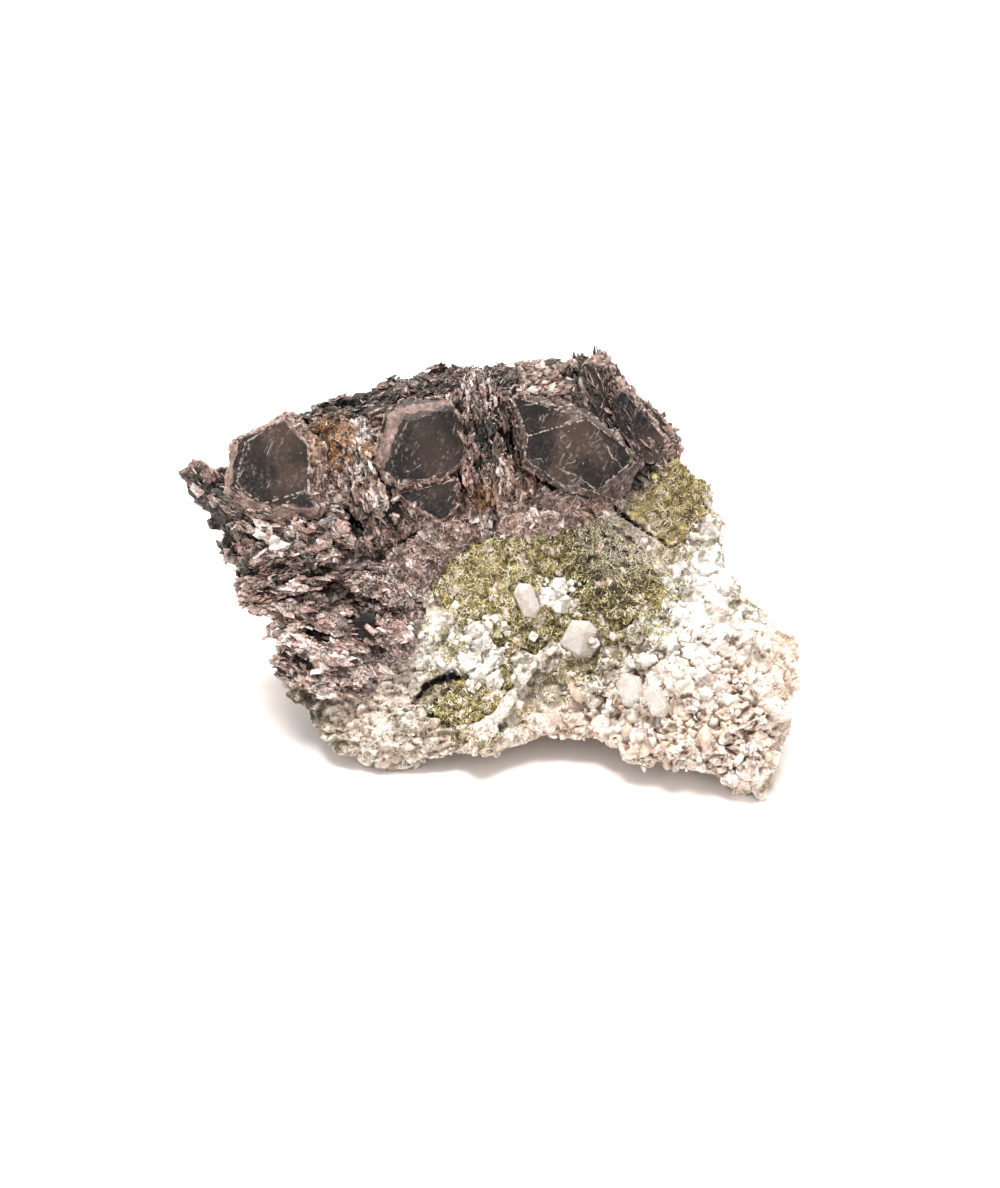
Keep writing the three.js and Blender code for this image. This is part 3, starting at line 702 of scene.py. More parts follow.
def grains_on_the_lobe(start, here, normal):
    thick = most(patches(here, (30, -23, 17), (42, -28, 9, 0.3)), 0.12 * patch(here, 34, 4, 13),
                 0.8 * patch(here, 0, -20, 6))
    where = thick * ease(noise_at(here, 3.5), 0.38, 0.52, 0.1, 1.0) * clear_of_gaps(here)
    where = where * (1 - on_vein(here)) * (1 - on_foot(here)) * (1 - in_crevices(here))
    where = where * (1 - patch(here, 14, -7, 5, 0.2))
    across = mostly_small(start, 1.1, 1.5, 11)
    across = across * ease(noise_at(here, 5, offset=(5, 0, 0)), 0.4, 0.62, 0.8, 1.2)
    size = scaled(chance(start, (0.9, 0.75, 0.6), (1.5, 1.15, 0.9), 12), across)
    return where, any_turn(start, 13), size, luck(start, 14), chance(start, -0.8, -0.35, 15)


def grains_all_round(start, here, normal):
    where = ease(noise_at(here, 4, offset=(3, 1, 0)), 0.42, 0.56, 0.02, 0.8) * clear_of_gaps(here)
    where = where * (1 - 0.85 * on_foot(here))
    size = chance(start, (0.8, 0.8, 0.6), (2.2, 1.8, 1.3), 22)
    return where, any_turn(start, 23), size, luck(start, 24), chance(start, -0.5, -0.1, 25)


def grain_look(start, here):
    tone = kept(start, "tone")
    snowy = snowy_places(here)
    stain = ease(noise_at(here, 1.2, 3, offset=(2, 0, 7)), 0.47, 0.62)
    stone = layered(
        tints(tone, (0.0, "#dcc4af"), (0.25, "#efdfce"), (0.5, "#f9f0e5"), (0.8, "#fefcf8")),
        (snowy * 0.8, "#fbf8f3"), (on_foot(here) * 0.5, "#c8bbab"), (stain * 0.3, "#a99180"),
        (tan_stains(here, snowy) * 0.35, "#bd9f8d"),
        # Grains are painted darker where they meet the rock, as shade.
        (ease(kept(start, "rise"), 0.0, 0.4, 0.8, 0.0), "#6d5546"),
    )
    relief = 0.2 * noise_at(here, 0.6, 4, 0.65) + 0.2 * cells_at(here, 0.7)
    return green_edge(stone, here), 0.6 + 0.3 * tone, relief


grain_shapes = cluster_of("grain_shape", 6, grain)
sugary_albite = mineral("sugary_albite", grain_look, {"Specular IOR Level": 0.4})
for name, layout, seed, thickness in (
    ("lobe_grains", grains_on_the_lobe, 10, LOBE_GRAINS), ("side_grains", grains_all_round, 20, FINE_GRAINS),
):
    grains = strew(name, rock, grain_shapes, layout, seed, **thickness)
    smooth(grains)
    dress(grains, sugary_albite, "matrix")


# ---- The epidote crusts ----
# Olive crusts of felted, needle-like crystals about a millimetre long, in three hollows of the rock.
# Each crust is a rough bed with a mat of needles grown on it.

CRUSTS = ("epidote_crust_centre", "epidote_crust_lower", "epidote_crust_right")
CRUST_SKIN = 0.4
NEEDLE_MAT = {"spacing": 0.12, "density": 22}
NEEDLE_TUFTS = {"spacing": 0.14, "density": 16}


def swell_crust(start, crust):
    here = here_on(start)
    height = 1.1 * (0.5 - cells_at(here, 1.9)) + 1.9 * wave_at(here, 2.6, 3)
    return keep_relief(swell(crust, height), 4)


def epidote_tints(value):
    return tints(value, (0.0, "#1d1a15"), (0.2, "#4f4732"), (0.4, "#93844f"), (0.6, "#ccbc7f"),
                 (0.78, "#f1e6b8"), (1.0, "#fdfaf2"))


def fresh(here):
    """How much paler the crusts are in the middle and at the top right than between them."""
    paler = 0.08 * patch(here, -1, 3, 9, 0.5) - 0.14 * patch(here, 18, 2, 8, 0.5)
    return paler + 0.08 * patch(here, 31, 16, 8, 0.5)


def bare_spots(here):
    """A noise that is high where a crust is thin and the rock shows."""
    return noise_at(here, 3.2, 3, offset=(7, 0, 0))


def crust_look(start, here):
    # The relief term paints the bed paler on its high places and darker in its low ones: painted light and
    # shade.
    value = 0.26 + 1.1 * wave_at(here, 1.8, 4, 0.6) + 0.7 * kept(start, "relief") + fresh(here)
    rock_tints = tints(noise_at(here, 0.8, 3), (0.4, "#a08a78"), (0.6, "#e9dfd2"))
    colour = blend(ease(bare_spots(here), 0.6, 0.64), epidote_tints(value), rock_tints)
    return green_edge(colour, here), 0.85, 0.25 * noise_at(here, 0.5, 3)


def needle(bm, number):
    bmesh.ops.create_cone(bm, cap_ends=True, segments=3, radius1=0.5, radius2=0.22, depth=1)


def combined(x, y, z):
    return x.make("ShaderNodeCombineXYZ", (), {0: x, 1: y, 2: z})


def lying(start, normal, seed, tilt):
    """A rotation that lays a shape's z direction along the ground, any way round, tilted up by chance."""
    along = normal.vector("CROSS_PRODUCT", chance(start, (-1, -1, -1), (1, 1, 1), seed)).vector("NORMALIZE")
    aim = along.vector("ADD", scaled(normal, chance(start, 0.0, tilt, seed + 1)))
    return start.make("FunctionNodeAlignRotationToVector", {"axis": "Z"}, {"Vector": aim})


def facing_out(start):
    """How squarely the ground looks out of the display face, from -1 to 1."""
    return dot(facing(start), tuple(OUT_OF_FACE))


def needle_layout(start, here, normal, where):
    """Needles of all sizes, in loose tufts, on the parts of the ground that look out of the display face."""
    thick = chance(start, 0.1, 0.24, 34)
    tone = luck(start, 35) + 2.2 * wave_at(here, 1.7, 3, offset=(4, 4, 0))
    where = where * ease(facing_out(start), 0.0, 0.3) * (1 - in_gaps(here, CRACKS))
    size = combined(thick, thick, mostly_small(start, 0.3, 1.0, 33))
    return where, lying(start, normal, 31, 0.9), size, tone, chance(start, 0.0, 0.3, 36)


def needles_on_crust(start, here, normal):
    tufts = ease(noise_at(here, 1.4, offset=(0, 8, 0)), 0.4, 0.5, 0.06, 1.0)
    return needle_layout(start, here, normal, tufts * ease(bare_spots(here), 0.59, 0.63, 1.0, 0.1))


def needles_on_rock(start, here, normal):
    """Thinner tufts that carry each crust's edge out over the rock."""
    round_crusts = patches(here, (4, 0, 19, 0.2), (19, 3, 14, 0.2), (30, 16, 10, 0.2), (-4, -17, 9, 0.3),
                           (-8, -17, 4, 0.2))
    broken = ease(noise_at(here, 3, 3, offset=(0, 0, 6)), 0.44, 0.54) * (1 - on_vein(here))
    felted = patches(here, (24, 10.5, 7.5, 0.3), (-8.8, -17.2, 2.6, 0.3))
    return needle_layout(start, here, normal, most(round_crusts * broken, felted))


def needle_look(start, here):
    # Needles are painted darker close to their bed, as shade.
    value = 0.3 + 0.75 * kept(start, "tone") - ease(kept(start, "rise"), 0.0, 0.35, 0.4, 0.0) + fresh(here)
    value = value + 0.2 * patch(here, 23, 11, 7)
    colour = layered(epidote_tints(value), (patch(here, 22, 10, 7, 0.5) * 0.5, "#d8d0c6"),
                     (patch(here, 31, 14, 9, 0.6) * 0.35, "#947458"))
    return green_edge(colour, here), 0.4, 0.02 * noise_at(here, 0.3)


needle_shapes = cluster_of("needle_shape", 2, needle)
epidote = mineral("epidote_bed", crust_look, {"Specular IOR Level": 0.4})
epidote_needles = mineral("epidote_needles", needle_look, {"Specular IOR Level": 0.5})
crust_beds = []
for number, node in enumerate(CRUSTS):
    crust = grown_copy(node, f"bed_of_{node}", CRUST_SKIN, swell_crust)
    dress(crust, epidote, "epidote", node)
    crust_beds.append(crust)
    needles = strew(f"needles_of_{node}", crust, needle_shapes, needles_on_crust, 30 + 10 * number,
                    **NEEDLE_MAT)
    dress(needles, epidote_needles, "epidote")
dress(strew("needles_on_rock", rock, needle_shapes, needles_on_rock, 60, **NEEDLE_TUFTS),
      epidote_needles, "epidote")


# ---- The axinite mass ----
# Bladed axinite, pinkish brown, its thin plates stacked in sheaves that each lie their own way. The
# grain of each sheaf is set once, and both the ledges of the mass and its loose blades follow it.

# Each sheaf: its middle, the direction its blades run, the direction their flat sides look, how
# wildly they stray from it (0 stacked, 1 felted), their length in mm and their tone (0 dark, 1 pale).
SHEAVES = (
    ((-49, 18, -4), (0.8, -0.55, 0.1), (-0.25, -0.45, 0.75), 0.25, 3.6, 0.12),
    ((-46, 12, -3), (0.8, -0.55, 0.1), (-0.25, -0.45, 0.75), 0.25, 3.2, 0.16),
    ((-44, 8, -3), (0.85, -0.4, 0.1), (-0.25, -0.3, 0.8), 0.3, 3.0, 0.35),
    ((-40, 4, -1), (0.96, 0.2, 0.1), (-0.15, 0.85, 0.4), 0.22, 3.0, 0.52),
    ((-30, 4, -1), (0.96, 0.15, 0.1), (-0.15, 0.85, 0.4), 0.3, 2.8, 0.45),
    ((-36, -3, 0), (0.97, -0.1, 0.1), (0.05, 0.8, 0.5), 0.22, 3.0, 0.55),
    ((-34, -10, 1), (0.95, -0.25, 0.1), (0.05, 0.8, 0.5), 0.22, 3.0, 0.63),
    ((-26, -8, 1), (0.92, -0.35, 0.1), (0.05, 0.8, 0.5), 0.25, 2.8, 0.6),
    ((-20, -13, 1), (0.85, -0.5, 0.1), (0.1, 0.7, 0.7), 0.4, 2.6, 0.64),
    ((-22, 0, 0), (0.9, -0.35, 0.1), (0.1, 0.7, 0.7), 0.55, 2.6, 0.42),
    ((-41, 13, 0), (0.9, -0.35, 0.1), (0.2, 0.5, 0.8), 0.25, 3.0, 0.72),
    ((-31, 12, 0), (0.9, -0.3, 0.1), (0.2, 0.5, 0.8), 0.35, 3.0, 0.62),
    ((-22, 11, 0), (0.6, -0.8, 0.1), (0.5, 0.4, 0.8), 0.5, 2.6, 0.5),
    ((-25, 25, -1), (0.3, -0.95, 0.0), (0.9, 0.15, 0.4), 0.35, 2.6, 0.8),
    ((-22, 19, -1), (0.35, -0.93, 0.0), (0.9, 0.15, 0.4), 0.3, 2.8, 0.55),
    ((-30, 28, -3), (0.3, 0.9, 0.2), (0.3, 0.1, 0.9), 0.9, 1.8, 0.45),
    ((-36, 31, -5), (0.92, 0.35, 0.0), (-0.3, 0.8, 0.5), 0.3, 3.4, 0.32),
    ((-24, 35, -6), (0.92, 0.35, 0.0), (-0.3, 0.8, 0.5), 0.25, 3.8, 0.04),
    ((-14, 37, -6), (0.95, 0.2, 0.0), (-0.1, 0.8, 0.5), 0.45, 3.0, 0.14),
    ((-3, 40, -7), (0.9, 0.1, 0.1), (-0.1, 0.7, 0.7), 0.7, 2.4, 0.34),
    ((8, 40, -7), (0.9, 0.1, 0.1), (-0.1, 0.5, 0.9), 0.4, 3.4, 0.32),
    ((-3, 34, -3), (0.1, -0.98, 0.0), (0.95, 0.1, 0.3), 0.4, 2.6, 0.44),
    ((-4, 26, -2), (0.1, -0.98, 0.0), (0.95, 0.1, 0.3), 0.28, 3.2, 0.14),
    ((0, 19, -2), (0.15, -0.98, 0.0), (0.95, 0.1, 0.3), 0.4, 2.8, 0.45),
    ((-12, 10, 0), (0.5, 0.6, 0.3), (0.2, 0.3, 0.9), 1.0, 2.1, 0.76),
    ((-16, 3, 0), (0.6, -0.5, 0.3), (0.2, 0.3, 0.9), 1.0, 2.1, 0.64),
    ((-9, 5, 0), (0.2, 0.8, 0.3), (0.2, 0.3, 0.9), 1.0, 2.0, 0.78),
    ((3, 14, -1), (0.4, 0.8, 0.2), (0.3, -0.2, 0.9), 0.85, 2.4, 0.96),
    ((11, 14, -1), (0.8, 0.4, 0.2), (0.0, -0.4, 0.9), 0.8, 2.4, 1.0),
    ((19, 13, -1), (-0.3, 0.9, 0.1), (-0.5, -0.2, 0.8), 0.5, 3.0, 0.74),
    ((26, 22, -3), (0.6, -0.75, 0.1), (0.6, 0.3, 0.7), 0.25, 3.2, 0.16),
    ((31, 27, -5), (0.5, 0.75, 0.2), (0.5, 0.0, 0.8), 0.8, 2.2, 0.72),
    ((22, 33, -6), (0.5, -0.85, 0.1), (0.8, 0.3, 0.5), 0.2, 3.4, 0.06),
    ((16, 41, -8), (0.35, -0.93, 0.1), (0.85, 0.2, 0.5), 0.2, 3.4, 0.08),
    ((34, 23, -5), (0.5, 0.75, 0.2), (0.6, -0.1, 0.7), 0.4, 3.0, 0.48),
    ((-36, 22, -14), (0.9, 0.2, -0.1), (-0.1, 0.7, -0.6), 0.3, 4.0, 0.34),
    ((-20, 30, -16), (0.9, 0.2, -0.1), (-0.1, 0.7, -0.6), 0.3, 4.0, 0.4),
    ((0, 35, -17), (0.95, 0.1, -0.1), (-0.1, 0.7, -0.6), 0.35, 3.6, 0.36),
    ((-46, 10, -11), (0.85, -0.4, -0.1), (-0.5, -0.2, -0.5), 0.35, 3.4, 0.36),
)
AXINITE_SKIN = 0.42

# Hollows between the sheaves, carved in and painted dark as shade: the two ends of each, and half its width.
HOLLOWS = (
    *CRACKS[:2], ((-33.8, -6.4), (-29.9, -8.0), 1.0), ((-26.9, -4.1), (-22.6, -5.1), 0.8),
    ((-27.7, 15.2), (-25.4, 11.2), 1.2), ((-1.4, 17.2), (-1.0, 10.4), 0.5),
    ((-27.8, 2.0), (-25.8, -1.4), 0.9), ((-52, 12.4), (-47.6, 7.4), 1.2), ((-45, 3.6), (-38, 5.8), 0.8),
    ((-39.5, -9.6), (-33, -12.6), 0.7), ((-8.2, 33), (-7.0, 21.5), 1.2), ((-21.3, 22.6), (-19.6, 15.6), 0.7),
    ((-33.5, 34.2), (-26, 35.4), 0.6), ((-40, -13.2), (-35, -15.5), 0.7), ((-46, 15.6), (-41.5, 12.4), 0.6),
    ((0.6, 30), (1.6, 22), 0.5), ((-18, 9.5), (-14.5, 11.5), 0.7),
)

bm = bmesh.new()
layers = {name: bm.verts.layers.float_vector.new(name) for name in ("along", "flat", "habit")}
for middle, along, flat, *habit in SHEAVES:
    vert = bm.verts.new(from_face(middle))
    vert[layers["along"]] = direction_from_face(along)
    vert[layers["flat"]] = direction_from_face(flat)
    vert[layers["habit"]] = habit
sheaf_guide = add_piece("sheaf_guide", mesh_of(bm, "sheaf_guide"))


def stored(start, name, kind="FLOAT"):
    """A number or a vector that the geometry keeps."""
    return start.make("GeometryNodeInputNamedAttribute", {"data_type": kind}, {"Name": name})


def of_sheaf(start, name):
    """What the sheaf nearest to each place says: its along, its flat or its habit."""
    here = here_on(start)
    stray = scaled(warp(here, 4, 2.3).vector("SUBTRACT", here), MM)
    guide = shape_of(start, sheaf_guide)
    nearest = start.make("GeometryNodeSampleNearest", (), {
        "Geometry": guide, "Sample Position": position(start).vector("ADD", stray),
    })
    return start.make("GeometryNodeSampleIndex", {"data_type": "FLOAT_VECTOR"}, {
        "Geometry": guide, "Value": stored(start, name, "FLOAT_VECTOR"), "Index": nearest,
    })


def habit_of(start):
    """How wild the nearest sheaf is, the length of its blades in mm, and its tone."""
    return parts_of(of_sheaf(start, "habit"))


def place_in_sheaf(start):
    """Places in mm along the blades, across them, and up through the stack."""
    place = scaled(position(start), 1 / MM)
    along = of_sheaf(start, "along")
    flat = of_sheaf(start, "flat")
    return combined(*[dot(place, way) for way in (along, flat.vector("CROSS_PRODUCT", along), flat)])


def swell_ledges(start, mass):
    here = here_on(start)
    habit = habit_of(start)
    lie = warp(place_in_sheaf(start), 3, 0.35)
    sheets = cell_chance(stretched(lie, 0.16, 0.22, 0.55)) - 0.5
    leaves = cell_chance(stretched(lie, 0.35, 0.45, 1.3)) - 0.5
    slots = fade(cell_chance(stretched(lie, 0.2, 0.3, 0.75)), 0.07, 0.1)
    ledge = cell_chance(stretched(lie, 0.08, 0.15, 0.34)) - 0.5
    height = (1.4 * ledge + 1.6 * sheets + 1.1 * leaves) * ease(habit[0], 0.4, 0.9, 1.0, 0.3)
    height = height + 0.7 * (0.5 - cells_at(here, 1.4)) + 1.4 * wave_at(here, 3.2, 3)
    height = height - 2.2 * slots - 2.8 * in_gaps(here, HOLLOWS)
    # Each ledge and sheet gets its own tone, painted paler the higher it stands, as painted light.
    tone = habit[2] + 0.5 * ledge + 0.2 * sheets
    return keep_relief(keep(keep(swell(mass, height), "tone", tone), "lie", lie, "FLOAT_VECTOR"), 5)


def axinite_tints(value):
    return tints(value, (0.0, "#191513"), (0.2, "#40352f"), (0.42, "#7a645b"), (0.62, "#ab9186"),
                 (0.8, "#d2bdb3"), (0.92, "#e5d9d1"), (1.0, "#f8f4f1"))


def rosy(value, here):
    """The tints of a value, pink and grey-brown by turns in patches a few millimetres across."""
    pink = noise_at(here, 2.4, 4, offset=(0, 14, 0))
    felt = most(patch(here, 9, 12, 12), 0.6 * patch(here, -11, 8, 8)) * in_front(here)
    return layered(
        axinite_tints(value), (ease(pink, 0.38, 0.52, 0.35, 0.0), "#4a4842"),
        (ease(pink, 0.48, 0.64, 0.0, 0.36) * ease(value, 0.2, 0.5), "#b98a80"), (felt * 0.22, "#c69a86"),
    )


def rust_on(colour, here):
    """Rusty staining, in the nook between the left and the middle crystal and below the middle one."""
    nook = patches(here, (-30, 27, 4.6, 0.5), (-22.5, 26, 2.2, 0.5))
    rust = most(nook, 0.5 * patch(here, -3, 17, 2.5, 0.5)) * in_front(here)
    rust = rust * ease(noise_at(here, 1.1, 3, offset=(1, 5, 0)), 0.42, 0.56)
    gold = tints(noise_at(here, 0.6, 2), (0.35, "#6b4424"), (0.5, "#b98146"), (0.65, "#e2ad64"))
    return blend(rust * 0.85, colour, gold)


def mass_look(start, here):
    lie = kept(start, "lie", "Vector")
    leaf = cell_chance(stretched(lie, 0.6, 0.9, 2.6)) - 0.5
    streak = wave_at(stretched(lie, 0.35, 1.0, 4.0), 1, 3, 0.65)
    # Painted shade at the borders between leaves.
    leaf_edge_shade = fade(cells_at(stretched(lie, 0.35, 0.45, 1.3), 1, "DISTANCE_TO_EDGE"), 0.0, 0.12)
    value = 0.18 + 0.65 * kept(start, "tone") + 0.3 * leaf + 1.4 * streak
    # Painted light and shade: paler on high places, darker in low ones, at the leaf borders and in the
    # hollows.
    value = value + 0.75 * kept(start, "relief") - 0.3 * leaf_edge_shade
    value = value + 1.1 * wave_at(here, 4, 2, offset=(0, 0, 20)) - 1.3 * in_gaps(here, HOLLOWS, 0.9)
    return rust_on(rosy(value, here), here), 0.5, 0.35 * streak + 0.25 * noise_at(here, 0.5, 3)


mass = grown_copy("axinite_mass", "bladed_axinite", AXINITE_SKIN, swell_ledges)
bladed_axinite = mineral("bladed_axinite", mass_look, {"Specular IOR Level": 0.25})
dress(mass, bladed_axinite, "axinite_mass", "axinite_mass")


# ---- The axinite blades ----
# Thin plates with axe-like edges, 1 to 4 mm long, on every part of the mass except where the large
# crystals stand. They follow the grain of their sheaf, and lie felted where it is wild.

CRYSTALS = ("axinite_crystal_left", "axinite_crystal_middle", "axinite_crystal_right",
            "axinite_crystals_top", "axinite_crystals_far_right")
BARE_ROUND_CRYSTALS = (0.35 * MM, 0.7 * MM)


def plate(bm, number):
    bmesh.ops.create_cone(bm, cap_ends=True, segments=4 + number % 2, radius1=0.5, radius2=0.36, depth=1)
    bmesh.ops.rotate(bm, verts=bm.verts, cent=(0, 0, 0), matrix=Matrix.Rotation(0.4 * number, 3, "Z"))
    for vert in bm.verts:
        vert.co.xy += noise.noise_vector(vert.co * 3 + Vector((number * 5.3, 1, 2))).xy * 0.2
    # rim: 1 on the plate's sides, which are painted paler as a highlight.
    rim = bm.faces.layers.float.new("rim")
    for face in bm.faces:
        face[rim] = float(len(face.verts) == 4)


def beside_crystals(start):
    """0 on and at the large crystals, 1 away from them."""
    clear, *others = [distance_to(shape_of(start, frame["nodes"][node])) for node in CRYSTALS]
    for other in others:
        clear = clear.math("MINIMUM", other)
    return ease(clear, *BARE_ROUND_CRYSTALS)


def turn_in_sheaf(start, normal, seed):
    """A rotation that lays a plate in its sheaf: its x along the blades, its z up through the stack."""
    flat = of_sheaf(start, "flat").vector("ADD", scaled(normal, chance(start, -0.3, 0.5, seed + 7)))
    along = of_sheaf(start, "along")
    turn = start.make("FunctionNodeAlignRotationToVector", {"axis": "X"}, {"Vector": along})
    turn = start.make("FunctionNodeAlignRotationToVector", {"axis": "Z", "pivot_axis": "X"},
                      {"Rotation": turn, "Vector": flat})
    stray = scaled(chance(start, (-1, -1, -1), (1, 1, 1), seed), 0.12 + 1.2 * habit_of(start)[0])
    stray = start.make("FunctionNodeEulerToRotation", (), {0: stray})
    return start.make("FunctionNodeRotateRotation", {"rotation_space": "LOCAL"}, {0: turn, 1: stray})


def blade_layout(start, here, normal, long, wide, thick, lift):
    """Blades of a length in mm, as wide and thick as a share of it, in their sheaf's own lie."""
    # A few blades are painted much paler, as a glint.
    painted_glint = ease(luck(start, 59), 0.965, 0.975, 0.0, 0.4)
    shade = stored(start, "tone") + 1.4 * wave_at(here, 3.4, 3) + chance(start, -0.2, 0.2, 57) + painted_glint
    where = beside_crystals(start) * ease(facing_out(start), -0.3, 0.1, 0.35, 1.0)
    where = where * (1 - in_gaps(here, HOLLOWS, 0.8))
    return where, turn_in_sheaf(start, normal, 53), combined(long, long * wide, long * thick), shade, lift


def blades_on_mass(start, here, normal):
    habit = habit_of(start)
    long = habit[1] * mostly_small(start, 0.26, 0.75, 54) * ease(habit[0], 0.4, 1.0, 1.0, 0.75)
    return blade_layout(start, here, normal, long, chance(start, 0.35, 0.85, 55),
                        chance(start, 0.08, 0.22, 56), chance(start, -0.25, 0.2, 58))


def plates_on_mass(start, here, normal):
    long = habit_of(start)[1] * mostly_small(start, 0.7, 0.9, 54)
    return blade_layout(start, here, normal, long, chance(start, 0.4, 0.85, 55),
                        chance(start, 0.08, 0.16, 56), chance(start, -0.6, -0.1, 58))


def fibres_on_mass(start, here, normal):
    """Fine fibres between the blades, most of them where a sheaf is wild."""
    where = beside_crystals(start) * ease(facing_out(start), -0.2, 0.2)
    where = where * ease(habit_of(start)[0], 0.3, 0.7, 0.12, 1.0) * (1 - in_gaps(here, HOLLOWS, 0.9))
    thick = chance(start, 0.1, 0.26, 64)
    shade = chance(start, -0.1, 1.3, 65) + 1.3 * wave_at(here, 2.5, 3)
    size = combined(thick, thick, mostly_small(start, 0.5, 1.2, 63))
    return where, lying(start, normal, 61, 0.7), size, shade, chance(start, 0.0, 0.5, 66)


def blade_look(start, here):
    tone = kept(start, "tone")
    streak = wave_at(here, 0.45, 3, 0.65)
    # Blade sides are painted paler as a highlight, and blades darker close to the mass, as shade.
    value = 0.11 + 0.8 * tone + 0.12 * kept(start, "rim") + 1.3 * streak
    value = value - ease(kept(start, "rise"), 0.0, 0.5, 0.34, 0.0)
    white = most(patch(here, -24, 25, 4, 0.5), 0.6 * patch(here, -3, 36, 4.5, 0.5)) * ease(tone, 0.45, 0.8)
    colour = blend(white * in_front(here) * 0.8, rosy(value, here), "#f3f1ef")
    return rust_on(colour, here), ease(noise_at(here, 0.9), 0.35, 0.65, 0.22, 0.55), 0.05 * streak


plate_shapes = cluster_of("plate_shape", 6, plate)
axinite_blades = mineral("axinite_blades", blade_look, {"Specular IOR Level": 0.55})
for name, shapes, layout, seed, spacing, density in (
    ("axinite_plates", plate_shapes, plates_on_mass, 250, 1.5, 0.35),
    ("axinite_blades", plate_shapes, blades_on_mass, 50, 0.4, 1.34),
    ("axinite_leaves", plate_shapes, blades_on_mass, 150, 0.4, 1.34),
    ("axinite_fibres", needle_shapes, fibres_on_mass, 160, 0.2, 7),
):
    dress(strew(name, mass, shapes, layout, seed, spacing=spacing, density=density),
          axinite_blades, "axinite_mass")


# ---- The large axinite crystals ----
# Clove-brown, glassy plates 15 to 20 mm across. Their flat faces are dark, finely scratched and lined
# with growth steps; the slopes round them are pinkish, terraced and rough, with pale worn edges.

EDGE_WEAR = 0.16
LONGEST_FACET = 0.55
FACE_SLOPE = 0.82
MOST_HALVINGS = 7
GROUND_SKIN = 0.4
SAME_FACE = radians(2)
STEPS = 8
MIDDLE_STEP = 4.5
LARGE_CRYSTALS = 3


def same_each_run(bm, marked):
    """A copy of a bmesh, its corners and faces in an order that is the same in each run. The marked
    faces have "edge" set."""
    ordered = bmesh.new()
    worn_edge = ordered.faces.layers.float.new("edge")
    corners = {}
    for vert in sorted(bm.verts, key=lambda vert: ANY_WAY.dot(vert.co)):
        corners[vert] = ordered.verts.new([round(part, 7) for part in vert.co])
    for face in sorted(bm.faces, key=lambda face: ANY_WAY.dot(face.calc_center_median())):
        ring = list(face.verts)
        first = ring.index(min(ring, key=lambda vert: ANY_WAY.dot(vert.co)))
        copy = ordered.faces.new([corners[vert] for vert in ring[first:] + ring[:first]])
        copy[worn_edge] = float(face in marked)
    bm.free()
    ordered.normal_update()
    return ordered


def wear_edges(bm, offset):
    """Cuts every edge of a bmesh to a narrow flat, and gives the faces that this makes."""
    return bmesh.ops.bevel(bm, geom=bm.edges, offset=offset, offset_type="OFFSET", affect="EDGES",
                           segments=1, profile=0.5, material=-1, clamp_overlap=True)["faces"]


def fine_facets(node, name, edge, longest):
    """A copy of a faceted solid with worn edges, in even small faces. Faces keep "edge" and "slope"."""
    piece = copy_of(node, name)
    bm = bmesh.new()
    bm.from_mesh(piece.data)
    bmesh.ops.dissolve_limit(bm, angle_limit=SAME_FACE, verts=bm.verts, edges=bm.edges)
    worn = set(wear_edges(bm, edge * MM))
    bm = same_each_run(bm, worn)
    slope = bm.faces.layers.float.new("slope")
    for face in bm.faces:
        face[slope] = float(face.normal.dot(OUT_OF_FACE) < FACE_SLOPE)
    bmesh.ops.triangulate(bm, faces=bm.faces)
    for halving in range(MOST_HALVINGS):
        long_edges = [side for side in bm.edges if side.calc_length() > longest * MM]
        if not long_edges:
            break
        bmesh.ops.subdivide_edges(bm, edges=long_edges, cuts=1)
        bmesh.ops.triangulate(bm, faces=bm.faces)
    in_order(bm)
    bm.to_mesh(piece.data)
    bm.free()
    smooth(piece)
    return piece


def growth_contours(here):
    """How far up the low hills of growth a place lies, counted in steps."""
    return noise_at(stretched(here, 1, 0.45, 1), 9, 1, offset=(20, 0, 0)) * STEPS


def grow_steps(start, crystal):
    here = here_on(start)
    slope = start.make("GeometryNodeBlurAttribute", {"data_type": "FLOAT"},
                       {"Value": stored(start, "slope"), "Iterations": 2})
    climb = parts_of(here)[2] * 1.5 + noise_at(here, 3, 2) * 3
    terrace = climb.math("FRACT")
    step = growth_contours(here).math("FLOOR")
    rough = wave_at(here, 1.1, 3)
    on_slope = 0.55 * (terrace - 0.5) + 0.9 * rough
    on_face = 0.08 * (step - MIDDLE_STEP) + 0.12 * rough
    ragged = swell(keep(crystal, "slope", slope), slope * on_slope + (1 - slope) * on_face)
    push = turned(scaled(warp(here, 2.2, 0.55).vector("SUBTRACT", here), MM), "X_AXIS", LEAN)
    ragged = start.make("GeometryNodeSetPosition", (), {"Geometry": ragged, "Offset": scaled(push, slope)})
    return keep_relief(ragged, 4)


# Worn edges and joins of the crystals' faces: the two ends of each.
WORN_LINES = (
    ((-44.8, 27), (-46.8, 19.8)), ((-46.8, 19.8), (-42.4, 16.6)), ((-42.4, 16.6), (-33.6, 17.6)),
    ((-19.2, 23.4), (-16.2, 30.6)), ((-16.2, 30.6), (-9.6, 32.6)), ((-17.4, 19.2), (-10.4, 21.2)),
    ((3.4, 33.6), (11.6, 35)), ((5.2, 28.6), (15.4, 31)), ((15.4, 31), (21.6, 22)), ((4.8, 24), (10.8, 22)),
    ((10.8, 22), (17.4, 18.4)), ((10.8, 22), (16.2, 25.8)),
)

# Mauve bevels along the crystals' faces: the two ends of each, and half its width.
MAUVE_RIMS = (
    ((-47.4, 28), (-49.2, 19.4), 1.1), ((-48.8, 18.0), (-42, 14.3), 1.3), ((-42, 14.3), (-32, 13.8), 1.5),
    ((-22.6, 20), (-18.6, 31.4), 1.3), ((-18.0, 32.2), (-9.5, 34.2), 0.8),
)


